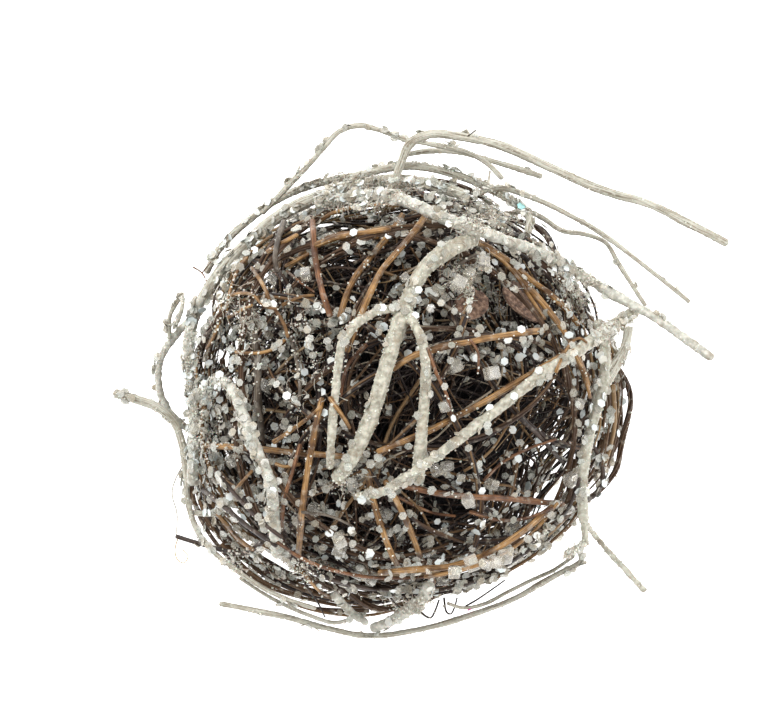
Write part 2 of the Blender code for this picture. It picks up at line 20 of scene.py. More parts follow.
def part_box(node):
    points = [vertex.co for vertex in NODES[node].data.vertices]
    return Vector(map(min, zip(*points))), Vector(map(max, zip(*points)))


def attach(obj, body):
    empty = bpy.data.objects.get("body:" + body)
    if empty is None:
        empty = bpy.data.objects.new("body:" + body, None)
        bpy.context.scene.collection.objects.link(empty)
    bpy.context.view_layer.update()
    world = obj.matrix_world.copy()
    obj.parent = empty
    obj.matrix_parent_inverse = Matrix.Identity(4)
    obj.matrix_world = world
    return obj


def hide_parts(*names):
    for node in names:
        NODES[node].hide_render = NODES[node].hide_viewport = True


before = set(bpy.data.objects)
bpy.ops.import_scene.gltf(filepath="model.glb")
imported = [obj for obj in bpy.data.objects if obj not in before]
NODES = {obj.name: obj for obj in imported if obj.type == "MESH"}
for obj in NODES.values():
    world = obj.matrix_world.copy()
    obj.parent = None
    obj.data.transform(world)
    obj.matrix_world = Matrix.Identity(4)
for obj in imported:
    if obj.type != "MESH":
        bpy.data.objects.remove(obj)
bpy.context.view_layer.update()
MM = 0.001

# The photograph's view, from straight above
PICTURE_SIZE = (778, 726)
PICTURE_CENTRE = (400.0, 391.0)
PICTURE_RADIUS = 215.0
BALL_RADIUS = 50 * MM
VIEW_DISTANCE = 25.2 * BALL_RADIUS
SENSOR_WIDTH = 36.0
PIXEL = BALL_RADIUS / PICTURE_RADIUS

TANGLE_LOW, TANGLE_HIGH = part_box("rootlet_tangle")
TANGLE_RADIUS = (TANGLE_HIGH.x - TANGLE_LOW.x) / 2
MIDDLE = Vector((0.0, 0.0, TANGLE_HIGH.z - TANGLE_RADIUS))
EYE = MIDDLE + Vector(((PICTURE_SIZE[0] / 2 - PICTURE_CENTRE[0]) * PIXEL,
                       (PICTURE_CENTRE[1] - PICTURE_SIZE[1] / 2) * PIXEL, VIEW_DISTANCE))

# Sizes of the small things
# the radius of the near-black core, which is painted shade in the ball's middle
SHADE_CORE_RADIUS = 30.5 * MM
FLAKE_WIDTH = 2.15 * MM
FLAKE_THICKNESS = 0.16 * MM
CUBE_SIZE = 2.9 * MM
ROOTLET_STEP = 2.6 * MM
BRIDGED_STEPS = 7  # rootlets don't follow a hollow that is shorter than this
FLOOR_MARGIN = 1.3 * MM  # no trim sits lower than this
LOOSE = 1.08  # what is farther out than this, in ball radii, is a loose twig
CLEARANCE = 1.5 * MM  # most flakes keep this far from the lines of the bare stems
FULL_RELIEF = 0.8 * MM  # the radius from which a twig gets its relief in full
CLIMB = 0.4  # how steeply a laid strand may climb over what it crosses

# Amounts and shares of the small things
RANDOM_FLAKES = 2900
RANDOM_CUBES = 150
GRAIN_SEATS = 9000
THINNED_AT_GAPS = 0.62  # of the strands that cross a gap, left out
KEPT_CLEAR = 0.8  # of the flakes near a bare stem, left out
LOOSE_LEFT_OUT = 0.4  # of the flakes on loose twigs, left out
# shares of flakes made opaque and bright: painted glints for flakes that catch the light
GLINT_SHARE_AT_SIDES = 0.3
GLINT_SHARE_ELSEWHERE = 0.12
SIDES_FROM = 0.75  # in ball radii
LEAST_CROWDING = 0.45
MORE_CROWDING = 0.55
WINDOW_CROWDING = 0.16
CUBE_SIZES_UP = 2.5  # how many of its own sizes a cube sits over the floor, at least

# A wound vine: its strands, and its step and the length of a turn in millimetres
VINE_STRANDS = 5
VINE_STEP = 1.9
VINE_TURN = 34

# The light: strength all round, then each lamp's name, place, width and watts
WORLD_STRENGTH = 0.84
LAMPS = [("key_light", (-0.35, 0.45, 0.70), 0.30, 5.6), ("fill_light", (0.55, -0.10, 0.60), 0.50, 3.0)]

# Bundles of rootlets. Depths under the tangle's surface and thicknesses are in millimetres, and spans in
# radians. Level ones are wound round the rim that the photograph shows. "thinned" is the share of strands
# left out where they would cross a dark window.
Family = namedtuple("Family", "name bundles strands depths thickness span level pale tones thinned")
ROOTLETS = [
    Family("inner_rootlets", 74, 6, (6.0, 13.0), (0.40, 0.80), (2.0, 4.0), False, 0.00, (0.0, 0.60), 0.0),
    Family("middle_rootlets", 110, 5, (2.2, 6.5), (0.34, 0.72), (1.2, 3.2), False, 0.03, (0.0, 0.85), 0.25),
    Family("outer_rootlets", 120, 4, (-0.8, 2.4), (0.28, 0.70), (0.7, 2.6), False, 0.08, (0.05, 0.95), 0.50),
    Family("brown_rootlets", 80, 2, (-1.2, 1.5), (0.50, 1.05), (0.5, 1.5), False, 0.04, (0.55, 0.95), 0.50),
    Family("rim_rootlets", 30, 7, (-1.9, 2.4), (0.40, 0.95), (0.7, 2.0), True, 0.08, (0.15, 1.0), 0.0)]

# Where daylight shows through the ball, and dark windows with little trim: middles and half sizes in pixels
GAPS = [(249, 326, 30, 50), (505, 470, 68, 62), (425, 198, 22, 9), (208, 493, 9, 14), (470, 590, 50, 12)]
WINDOWS = [
    (355, 225, 28, 12), (430, 257, 24, 20), (350, 270, 13, 18), (320, 295, 14, 16), (495, 350, 50, 26),
    (510, 400, 50, 26), (500, 445, 42, 26), (462, 520, 24, 22), (330, 515, 34, 14), (352, 400, 20, 46),
    (400, 400, 14, 60), (442, 320, 14, 18), (275, 415, 12, 16)]

# What each twig's solid is dressed with
ROUGH_TWIGS = ["shoulder_twig", "left_bent_twig", "left_upright_twig", "hidden_frosted_arc_1",
               "hidden_frosted_arc_2", "bottom_stub", "bottom_peg", "left_loop_twig"]
FINE_TWIGS = ["upper_left_arc", "crown_arc", "right_stub", "left_tip_twig", "left_thin_loop",
              "low_left_sweep", "low_left_hook", "bottom_arc", "bottom_thin_twig", "bottom_right_line",
              "high_loop_twig", "short_spray_twig", "long_spray_twig", "middle_spray_twig",
              "kinked_spray_twig"]
BARE_DARK = ["right_dark_loop", "lower_left_spur"]
GREY_STEMS = ["brown_stem_left_2"]
RED_STEMS = ["brown_stem_upper_3", "brown_stem_lower_1", "hidden_brown_arc_2"]

# Strands drawn one by one: the finish, the width in millimetres and the route
Drawn = namedtuple("Drawn", "finish width route")
LAID_STRANDS = [
    Drawn("brown", 1.1, [(274, 442), (292, 430), (312, 415), (324, 404)]),
    Drawn("brown", 0.9, [(234, 492), (243, 481), (252, 471)]),
    Drawn("brown", 1.2, [(268, 252), (282, 243), (297, 235)]),
    Drawn("brown", 0.9, [(236, 352), (258, 353), (275, 348), (288, 337)]),
    Drawn("brown", 1.0, [(252, 268), (263, 285), (272, 305), (283, 322), (288, 337)]),
    Drawn("red", 1.0, [(366, 345), (350, 362), (343, 380), (340, 400)]),
    Drawn("brown", 0.9, [(276, 464), (287, 467), (300, 464)]),
    Drawn("brown", 1.2, [(218, 514), (228, 526), (240, 540), (256, 552)]),
    Drawn("brown", 0.9, [(296, 567), (304, 574), (318, 590), (332, 598)]),
    Drawn("brown", 0.9, [(286, 266), (299, 259), (312, 252)]),
    Drawn("brown", 1.0, [(316, 224), (333, 213), (356, 207), (380, 205), (400, 206)]),
    Drawn("brown", 1.4, [(316, 245), (335, 238), (355, 234), (376, 231), (394, 228)]),
    Drawn("brown", 0.9, [(229, 296), (243, 293), (254, 296), (264, 306), (277, 309)]),
    Drawn("grey", 1.4, [(284, 222), (278, 240), (275, 258), (278, 276)]),
    Drawn("grey", 1.7, [(258, 352), (258, 378), (257, 402), (262, 424)]),
    Drawn("red", 0.7, [(288, 272), (300, 282), (314, 292)]),
    Drawn("brown", 0.9, [(222, 302), (219, 322), (212, 340), (204, 352)]),
    Drawn("brown", 0.9, [(247, 258), (236, 274), (229, 296), (226, 316)]),
    Drawn("grey", 1.0, [(291, 338), (297, 362), (300, 388), (298, 412)]),
    Drawn("brown", 0.8, [(228, 318), (240, 311), (252, 305)]),
    Drawn("brown", 0.9, [(283, 305), (300, 297), (318, 295)]),
    Drawn("brown", 1.0, [(486, 249), (501, 259), (517, 277), (530, 297), (545, 319)]),
    Drawn("red", 0.9, [(470, 512), (500, 520), (528, 518), (552, 508)]),
    Drawn("dark", 1.4, [(219, 300), (232, 275), (252, 252), (280, 232), (312, 216)]),
    Drawn("red", 0.9, [(277, 542), (305, 560), (340, 572), (380, 578), (428, 577)]),
    Drawn("dark", 1.2, [(283, 552), (320, 575), (366, 588), (412, 590)]),
    Drawn("brown", 0.9, [(425, 577), (462, 570), (500, 556), (535, 530), (560, 500)]),
    Drawn("dark", 1.3, [(196, 484), (222, 505), (250, 528), (280, 548)]),
    Drawn("dark", 1.1, [(214, 470), (240, 500), (262, 522), (285, 540)]),
    Drawn("red", 1.0, [(300, 445), (293, 470), (284, 500), (282, 530)]),
    Drawn("brown", 0.8, [(556, 372), (566, 350), (578, 338), (590, 345)]),
    Drawn("brown", 1.0, [(573, 350), (584, 372), (590, 398)]),
    Drawn("dark", 1.1, [(520, 418), (535, 432), (548, 446), (562, 462)]),
    Drawn("red", 0.7, [(484, 480), (503, 462), (530, 448), (560, 438)]),
    Drawn("red", 0.9, [(428, 348), (436, 372), (447, 396), (452, 420)]),
    Drawn("red", 0.7, [(470, 340), (478, 352), (478, 372)]),
    Drawn("grey", 0.9, [(425, 292), (440, 302), (456, 312), (470, 318)]),
    Drawn("grey", 1.0, [(476, 255), (462, 262), (446, 275)]),
    Drawn("brown", 1.1, [(330, 398), (342, 415), (352, 432)]),
    Drawn("red", 0.8, [(398, 497), (430, 512), (455, 516)]),
    Drawn("grey", 0.7, [(302, 512), (330, 516), (356, 528)]),
    Drawn("dark", 1.0, [(440, 590), (470, 583), (505, 566), (540, 540), (568, 508), (580, 478)]),
]
HUNG_STRANDS = [
    Drawn("pale", 0.35, [(185, 462, -0.1), (176, 478, 0.0), (172, 494, 0.04), (177, 514, 0.04),
                         (176, 538, 0.02)]),
    Drawn("gold", 0.30, [(178, 538, 0.02), (175, 549, 0.04), (177, 559, 0.06), (184, 563, 0.04),
                         (188, 556, 0.0), (182, 549, -0.02)]),
    Drawn("dark", 0.40, [(614, 352, 0.0), (616, 366, 0.0), (623, 377, 0.02), (629, 386, 0.02),
                         (627, 396, 0.0)]),
    Drawn("dark", 0.30, [(612, 392, 0.0), (615, 382, 0.02), (616, 374, 0.02)]),
    Drawn("red", 0.40, [(193, 267, -0.06), (202, 273, -0.04), (208, 284, 0.0), (212, 292, 0.04)]),
    Drawn("red", 0.35, [(202, 273, -0.04), (206, 268, -0.04), (211, 262, -0.03)]),
    Drawn("dark", 0.40, [(468, 136, 0.42), (472, 133, 0.44), (476, 130, 0.45)]),
    Drawn("pale", 0.70, [(488, 184, 0.2), (489, 178, 0.19), (490, 171, 0.17)]),
    Drawn("dark", 0.60, [(412, 596, 0.0), (420, 611, 0.02), (430, 618, 0.02), (435, 611, 0.0),
                         (439, 600, -0.05)]),
    Drawn("dark", 0.50, [(444, 598, -0.05), (446, 611, 0.0), (451, 614, 0.02), (455, 606, 0.0),
                         (457, 598, -0.04)]),
    Drawn("dark", 0.50, [(300, 575, 0.1), (309, 590, 0.08), (317, 601, 0.04), (325, 617, 0.02)]),
    Drawn("dark", 0.45, [(384, 590, 0.1), (398, 606, 0.05), (410, 612, 0.02), (424, 607, 0.0)]),
    Drawn("dark", 0.50, [(466, 606, 0.0), (478, 599, 0.02), (494, 588, 0.04), (505, 580, 0.0)]),
]

# Loose bundles along the rim: how many strands, their tones, their heights in ball radii, and a route
Bundle = namedtuple("Bundle", "count tones heights route")
HIGH = (-0.25, 0.30)
LOW = (-0.62, -0.30)
RIM_BUNDLES = [
    Bundle(18, (0.55, 0.88), HIGH, [(588, 312), (603, 345), (609, 385), (609, 425), (600, 465), (583, 500)]),
    Bundle(16, (0.20, 0.72), HIGH, [(262, 530), (295, 560), (335, 580), (385, 592), (440, 590), (490, 574),
                                    (530, 550)]),
    Bundle(14, (0.20, 0.85), HIGH, [(440, 588), (490, 572), (535, 545), (570, 508), (590, 465)]),
    Bundle(16, (0.20, 0.90), HIGH, [(208, 345), (216, 300), (238, 262), (275, 232), (330, 210), (400, 197),
                                    (440, 195)]),
    Bundle(12, (0.10, 0.80), HIGH, [(196, 400), (200, 445), (216, 490), (245, 528), (285, 560)]),
    Bundle(18, (0.10, 0.85), LOW, [(187, 450), (201, 500), (226, 540), (263, 574), (310, 596), (370, 604),
                                   (432, 600)]),
    Bundle(14, (0.30, 0.90), LOW, [(194, 470), (212, 512), (240, 548), (285, 578), (340, 594)]),
    Bundle(16, (0.15, 0.90), HIGH, [(400, 200), (450, 205), (500, 225), (550, 262), (585, 305), (600, 350)]),
    Bundle(12, (0.30, 1.00), HIGH, [(205, 420), (204, 380), (207, 340), (218, 300)]),
]

CUBE_PIXELS = [
    (397, 268), (386, 281), (439, 356), (553, 325), (480, 386), (483, 265), (470, 277), (517, 362),
    (446, 405), (489, 484), (512, 526), (458, 560), (455, 571), (405, 507), (384, 511), (425, 546),
    (361, 568), (374, 575), (270, 460), (339, 538), (325, 563), (316, 509), (304, 530), (568, 478),
    (564, 497), (484, 563), (493, 560), (502, 555), (518, 554), (467, 498), (204, 484), (498, 312)]
DRIFTS = [  # the thick drifts of flakes: middle and half sizes in pixels, and how many
    (390, 190, 90, 12, 150), (255, 335, 34, 40, 90), (318, 322, 30, 34, 90), (262, 425, 34, 46, 90),
    (208, 440, 18, 64, 120), (345, 205, 60, 20, 30), (480, 275, 40, 28, 80), (515, 345, 60, 20, 90),
    (582, 320, 24, 50, 100), (592, 440, 18, 60, 80), (400, 500, 50, 22, 60), (295, 490, 40, 40, 60),
    (300, 562, 44, 16, 60), (420, 578, 90, 16, 150), (540, 530, 45, 26, 110), (490, 490, 50, 16, 50),
    (420, 300, 30, 24, 40), (440, 400, 22, 50, 20), (235, 250, 30, 20, 60), (482, 208, 45, 14, 120),
    (205, 340, 16, 60, 90), (560, 258, 24, 18, 40), (235, 535, 40, 34, 110), (300, 440, 90, 60, 110),
    (440, 500, 120, 60, 160), (480, 300, 110, 70, 150), (400, 540, 110, 30, 100), (330, 230, 90, 30, 60)]
FLAKE_PIXELS = [
    (294, 210), (333, 191), (358, 283), (338, 285), (273, 305), (295, 337), (331, 361), (382, 308),
    (364, 212), (371, 217), (354, 233), (318, 226), (308, 315), (324, 309), (315, 336), (334, 326),
    (301, 365), (306, 396), (343, 317), (389, 236), (272, 339), (233, 361), (322, 392), (236, 320),
    (449, 224), (486, 257), (464, 288), (418, 290), (426, 323), (415, 316), (502, 332), (521, 330),
    (534, 325), (507, 339), (504, 361), (535, 357), (476, 358), (549, 379), (575, 371), (462, 367),
    (448, 385), (514, 396), (491, 393), (596, 374), (521, 207), (325, 413), (240, 430), (275, 446),
    (257, 498), (273, 490), (360, 567), (318, 585), (490, 409), (479, 471), (559, 412), (538, 441),
    (588, 423), (471, 535), (536, 535), (404, 508), (490, 486), (502, 481), (512, 430), (417, 592)]
# a flake painted blue-green: a painted glint of thin-film colour
BLUE_GLINT_FLAKE_PIXEL = (521, 207)
PINK_FLECK_PIXEL = (469, 609)

# Matted frost: the middle and half sizes of a patch in pixels, its fibres and its grains
Matting = namedtuple("Matting", "middle half_size fibres grains")
MATTED_PATCHES = [
    Matting((490, 213), (38, 24), 420, 500),
    Matting((208, 425), (22, 56), 30, 420),
    Matting((398, 188), (24, 10), 120, 160),
    Matting((610, 330), (16, 16), 70, 120),
    Matting((240, 320), (34, 52), 160, 260),
    Matting((300, 350), (40, 60), 100, 260),
    Matting((192, 380), (12, 80), 20, 300),
    Matting((345, 183), (60, 9), 160, 160),
    Matting((575, 290), (26, 30), 160, 260),
    Matting((462, 280), (22, 22), 120, 160),
    Matting((360, 205), (50, 12), 120, 260),
    Matting((300, 570), (34, 16), 20, 160),
    Matting((415, 605), (36, 12), 60, 160),
    Matting((348, 485), (24, 14), 14, 120),
    Matting((480, 296), (26, 22), 90, 200),
    Matting((240, 560), (24, 14), 20, 100),
    Matting((570, 550), (12, 10), 20, 80),
]


class Shapes:
    """Many small shapes gathered into one mesh, each vertex with a tone and a place along its grain."""

    def __init__(self):
        self.verts = []
        self.faces = []
        self.tones = []
        self.grains = []
        self.count = 0

    def add(self, verts, faces, tone=0.5, grain=None):
        self.verts.append(verts)
        self.faces.extend((np.asarray(face) + self.count).tolist() for face in faces)
        self.tones.append(np.full(len(verts), tone) if np.isscalar(tone) else tone)
        self.grains.append(np.zeros((len(verts), 3)) if grain is None else grain)
        self.count += len(verts)

    def piece(self, name, finish, slot, replaced=(), smooth=True, carries=False):
        mesh = bpy.data.meshes.new(name)
        verts = np.vstack(self.verts)
        mesh.from_pydata(verts, [], self.faces)
        tone = mesh.attributes.new("tone", "FLOAT", "POINT")
        tone.data.foreach_set("value", np.concatenate(self.tones).astype(np.float32))
        grain = mesh.attributes.new("grain", "FLOAT_VECTOR", "POINT")
        grain.data.foreach_set("vector", np.vstack(self.grains).astype(np.float32).ravel())
        if smooth:
            mesh.shade_smooth()
        if carries:
            CARRIERS.append((verts.tolist(), self.faces))
        return add_piece(name, mesh, finish, replaced)


CARRIERS = []  # meshes that trim may sit on
FORK_SKIN = []  # places on the forked twigs and the ways out there
BARE = []  # points along the bare stems, which most flakes keep clear of


def add_piece(name, mesh, finish, replaced=()):
    piece = bpy.data.objects.new(name, mesh)
    bpy.context.scene.collection.objects.link(piece)
    mesh.materials.append(finish)
    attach(piece, "root")
    if replaced:
        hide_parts(*replaced)
    return piece


# Reading the solids

def welded(name):
    """A node's mesh with its corners joined."""
    bm = bmesh.new()
    bm.from_mesh(NODES[name].data)
    bmesh.ops.remove_doubles(bm, verts=bm.verts, dist=1e-6)
    bm.verts.ensure_lookup_table()
    return bm


def flat_patch(face):
    """The corners of the flat patch that a face belongs to."""
    patch = {face}
    edge_of_patch = [face]
    while edge_of_patch:
        for edge in edge_of_patch.pop().edges:
            for other in edge.link_faces:
                if other not in patch and other.normal.angle(face.normal) < 0.01:
                    patch.add(other)
                    edge_of_patch.append(other)
    return {vert for member in patch for vert in member.verts}


def rings_from(first, total):
    """Ring after ring of a tube, from the corners of one end; nothing if they aren't an end."""
    rings = [first]
    seen = set(first)
    while len(seen) < total:
        ring = {edge.other_vert(vert) for vert in rings[-1] for edge in vert.link_edges} - seen
        if len(ring) != len(first):
            return None
        rings.append(ring)
        seen |= ring
    return rings


def centreline(name):
    """A tube's line and its radii, read from its node."""
    bm = welded(name)
    for face in bm.faces:
        rings = rings_from(flat_patch(face), len(bm.verts))
        if rings and len(rings) > 2:
            break
    corners = [np.array([vert.co for vert in ring]) for ring in rings]
    bm.free()
    line = np.array([ring.mean(axis=0) for ring in corners])
    radii = np.array([np.linalg.norm(ring - ring.mean(axis=0), axis=1).mean() for ring in corners])
    return line, radii


def tree_of(meshes):
    """One tree for rays, of pairs of vertices and faces."""
    verts = []
    faces = []
    for part_verts, part_faces in meshes:
        start = len(verts)
        verts.extend(part_verts)
        faces.extend([start + corner for corner in face] for face in part_faces)
    return BVHTree.FromPolygons(verts, faces)


def node_meshes(names):
    for name in names:
        mesh = NODES[name].data
        yield [vert.co.copy() for vert in mesh.vertices], [list(face.vertices) for face in mesh.polygons]


TANGLE = tree_of(node_meshes(["rootlet_tangle"]))
SOLIDS = tree_of(node_meshes(sorted(NODES)))


def ground(direction):
    """How far the tangle reaches from the ball's middle in a direction."""
    away = Vector(direction)
    place, _, _, _ = TANGLE.ray_cast(MIDDLE + away * 2 * BALL_RADIUS, -away)
    return (place - MIDDLE).length


# The picture's view

def ray_through(pixel):
    return Vector(((pixel[0] - PICTURE_SIZE[0] / 2) * PIXEL, (PICTURE_SIZE[1] / 2 - pixel[1]) * PIXEL,
                   -VIEW_DISTANCE)).normalized()


def pixels_of(places):
    """Where places show in the picture."""
    nearer = VIEW_DISTANCE / (EYE.z - places[:, 2]) / PIXEL
    return np.stack([PICTURE_SIZE[0] / 2 + (places[:, 0] - EYE.x) * nearer,
                     PICTURE_SIZE[1] / 2 - (places[:, 1] - EYE.y) * nearer], axis=1)


def picture_place(point):
    """The place that shows at a pixel, at a height over the ball's middle in ball radii."""
    ray = ray_through(point)
    return np.array(EYE + ray * ((MIDDLE.z + point[2] * BALL_RADIUS - EYE.z) / ray.z))


def on_ray(pixel, reach):
    """Where the eye's ray through a pixel comes within a distance of the ball's middle."""
    ray = ray_through(pixel)
    along = ray.dot(MIDDLE - EYE)
    aside = (MIDDLE - EYE).length_squared - along**2
    return np.array(EYE + ray * (along - math.sqrt(max(0.0, reach**2 - aside))))


def inside_ovals(places, ovals):
    """Which places show within any of the picture's ovals."""
    pixels = pixels_of(places)
    inside = np.zeros(len(places), dtype=bool)
    for x, y, half_width, half_height in ovals:
        inside |= ((pixels[:, 0] - x) / half_width)**2 + ((pixels[:, 1] - y) / half_height)**2 < 1
    return inside


# Lines and tubes

def smooth_line(points, step):
    """Points a step apart on the Catmull-Rom curve through the points given."""
    points = np.asarray(points, dtype=float)
    knots = np.vstack([2 * points[0] - points[1], points, 2 * points[-1] - points[-2]])
    t = np.linspace(0, 1, 12, endpoint=False)[:, None]
    runs = []
    for a, b, c, d in zip(knots, knots[1:], knots[2:], knots[3:]):
        runs.append(0.5 * (2 * b + (c - a) * t + (2 * a - 5 * b + 4 * c - d) * t**2
                           + (3 * b - a - 3 * c + d) * t**3))
    fine = np.vstack(runs + [points[-1:]])
    run = np.concatenate([[0.0], np.cumsum(np.linalg.norm(np.diff(fine[:, :3], axis=0), axis=1))])
    wanted = np.linspace(0, run[-1], max(3, round(run[-1] / step) + 1))
    return np.stack([np.interp(wanted, run, fine[:, i]) for i in range(points.shape[1])], axis=1)


def frames_along(line):
    """The run of a line at each point, with two directions across it that don't twist."""
    runs = np.gradient(line, axis=0)
    runs /= np.linalg.norm(runs, axis=1)[:, None]
    up = np.array([0.3, 0.2, 1.0]) if abs(runs[0][2]) < 0.9 else np.array([1.0, 0.2, 0.3])
    ups = np.zeros_like(line)
    for i, run in enumerate(runs):
        up = up - run * (up @ run)
        up /= np.linalg.norm(up)
        ups[i] = up
    return runs, ups, np.cross(runs, ups)


def outward_frames(line):
    """As frames_along, for a line wound round the ball, worked out all at once."""
    runs = np.gradient(line, axis=0)
    runs /= np.linalg.norm(runs, axis=1)[:, None]
    sides = np.cross(runs, line - np.array(MIDDLE))
    sides /= np.linalg.norm(sides, axis=1)[:, None]
    return runs, np.cross(sides, runs), sides


def add_tube(shapes, line, radii, sides, tone, frames=None, relief=None, rounded=False):
    """A closed tube. The relief gives how far each vertex stands out, from its place and its grain."""
    runs, ups, across = frames or frames_along(line)
    if rounded:
        ends = [(0, -0.55, 0.35), (0, -0.30, 0.78)], [(-1, 0.30, 0.78), (-1, 0.55, 0.35)]
        starts, stops = ([(line[i] + runs[i] * radii[i] * ahead, radii[i] * narrow, ups[i], across[i])
                          for i, ahead, narrow in end] for end in ends)
        line = np.vstack([[s[0] for s in starts], line, [s[0] for s in stops]])
        radii = np.concatenate([[s[1] for s in starts], radii, [s[1] for s in stops]])
        ups = np.vstack([[s[2] for s in starts], ups, [s[2] for s in stops]])
        across = np.vstack([[s[3] for s in starts], across, [s[3] for s in stops]])
    angles = 2 * math.pi * np.arange(sides) / sides
    away = (ups[:, None, :] * np.cos(angles)[None, :, None]
            + across[:, None, :] * np.sin(angles)[None, :, None])
    run = np.concatenate([[0.0], np.cumsum(np.linalg.norm(np.diff(line, axis=0), axis=1))])
    grain = np.stack(np.broadcast_arrays(run[:, None], 3 * MM * np.cos(angles)[None, :],
                                         3 * MM * np.sin(angles)[None, :]), axis=2)
    reach = np.broadcast_to(radii[:, None], (len(line), sides)).copy()
    if relief:
        stand = relief(line[:, None, :] + away * reach[:, :, None], grain)
        reach += stand * np.minimum(1, reach / FULL_RELIEF)
    verts = line[:, None, :] + away * reach[:, :, None]
    verts[:, :, 2] = np.maximum(verts[:, :, 2], 0.0)
    base = np.arange(len(line) - 1)[:, None] * sides + np.arange(sides)[None, :]
    after = np.arange(len(line) - 1)[:, None] * sides + (np.arange(sides)[None, :] + 1) % sides
    quads = np.stack([base, after, after + sides, base + sides], axis=2).reshape(-1, 4)
    last = (len(line) - 1) * sides
    shapes.add(verts.reshape(-1, 3), list(quads) + [np.arange(sides)[::-1], last + np.arange(sides)],
               tone, grain.reshape(-1, 3))


def noise_at(places, size, seed):
    """Smooth noise from -1 to 1 at many places, with waves of about the size given."""
    shifted = places.reshape(-1, 3) / size + seed
    return np.array([noise.noise(place) for place in shifted]).reshape(places.shape[:-1])


# Seats for flakes, cubes and grains: points along every twig and strand, with its radius there
SEATS = []


def offer_seats(line, radii, share, bare=False):
    """Lets small things sit along a line. The share says how readily."""
    SEATS.append((line, radii, np.gradient(line, axis=0), share))
    if bare:
        BARE.extend(Vector(place) for place in line)


def bare_tree():
    """The brown stems' points, for finding the nearest one."""
    tree = KDTree(len(BARE))
    for i, place in enumerate(BARE):
        tree.insert(place, i)
    tree.balance()
    return tree


# Rootlets

def spun(rng, count):
    """Random directions."""
    made = rng.normal(size=(count, 3))
    return made / np.linalg.norm(made, axis=1)[:, None]


def winding(rng, axis, lean, depth, span, start):
    """A strand wound about an axis through the ball's middle, some way under the tangle's surface.

    The lean moves it off the great circle, towards the axis. It bridges short hollows.
    """
    axis = axis / np.linalg.norm(axis)
    first = np.cross(axis, [0.31, 0.47, 0.83])
    first /= np.linalg.norm(first)
    second = np.cross(axis, first)
    t = np.linspace(start, start + span, max(6, round(span * TANGLE_RADIUS / ROOTLET_STEP)))
    wander = lean + rng.normal(0, 0.10) * np.sin(2 * t + rng.uniform(0, 6.3))
    wander = wander + rng.normal(0, 0.045) * np.sin(5 * t + rng.uniform(0, 6.3))
    wander = wander + rng.normal(0, 0.016) * np.sin(13 * t + rng.uniform(0, 6.3))
    path = first * np.cos(t)[:, None] + second * np.sin(t)[:, None] + axis * wander[:, None]
    path /= np.linalg.norm(path, axis=1)[:, None]
    surface = np.pad([ground(direction) for direction in path], BRIDGED_STEPS // 2, mode="edge")
    surface = np.convolve(surface, np.full(BRIDGED_STEPS, 1 / BRIDGED_STEPS), mode="valid")
    swing = rng.uniform(0.2, 0.9) * MM * np.sin(rng.uniform(1.5, 4.5) * t + rng.uniform(0, 6.3))
    return np.array(MIDDLE) + path * (surface - depth + swing)[:, None]


def on_the_floor(line, radius):
    """What would hang under the flat spot lies on the floor instead."""
    line[:, 2] = np.maximum(line[:, 2], radius * 1.05)
    return line


def lay_family(family, finish):
    """Bundles of strands that share an axis, fewer of them where daylight shows through the ball."""
    rng = np.random.default_rng(len(family.name) + family.bundles)
    shapes = Shapes()
    for axis in spun(rng, family.bundles):
        start = rng.uniform(0, 2 * math.pi)
        lean = rng.normal(0, 0.15)
        if family.level:
            axis = np.array([0.0, 0.0, 1.0]) + axis * 0.28
            lean = rng.uniform(-0.25, 0.75)
        for _ in range(family.strands):
            own = axis + rng.normal(0, 0.09 if family.level else 0.20, 3)
            depth = rng.uniform(*family.depths) * MM
            line = winding(rng, own, lean + rng.normal(0, 0.10), depth, rng.uniform(*family.span),
                           start + rng.normal(0, 0.6))
            radius = rng.uniform(*family.thickness) * MM / 2
            taper = np.linspace(1.0, rng.uniform(0.45, 1.0), len(line))
            low, high = family.tones
            tone = low + (high - low) * rng.beta(1.5, 2.1)
            if rng.random() < family.pale:
                tone = rng.uniform(0.88, 1.0)
            if rng.random() < THINNED_AT_GAPS and inside_ovals(line, GAPS).mean() > 0.05:
                continue
            seen = line[line[:, 2] > MIDDLE.z]
            if rng.random() < family.thinned and inside_ovals(seen, WINDOWS).sum() > 2:
                continue
            line = on_the_floor(line, radius)
            add_tube(shapes, line, radius * taper, 4 if family.level else 3, tone, outward_frames(line))
            if family.depths[0] < 0:
                offer_seats(line, radius * taper, 1.0)
    shapes.piece(family.name, finish, "dark_rootlet", ["rootlet_tangle"], carries=family.depths[0] < 5)


def lay_shade_core(finish):
    """A near-black ball in the tangle's middle: painted shade for the ball's dark inside. No light comes
    through it.
    """
    bm = bmesh.new()
    bmesh.ops.create_icosphere(bm, subdivisions=5, radius=SHADE_CORE_RADIUS)
    places = np.array([vert.co for vert in bm.verts])
    relief = 2.4 * MM * noise_at(places, 7 * MM, 3.0) + 0.9 * MM * noise_at(places, 2 * MM, 8.0)
    for vert, stand in zip(bm.verts, relief):
        vert.co = MIDDLE + vert.co * (1 + stand / SHADE_CORE_RADIUS)
    mesh = bpy.data.meshes.new("matted_middle")
    bm.to_mesh(mesh)
    bm.free()
    mesh.shade_smooth()
    add_piece("matted_middle", mesh, finish, ["rootlet_tangle"])


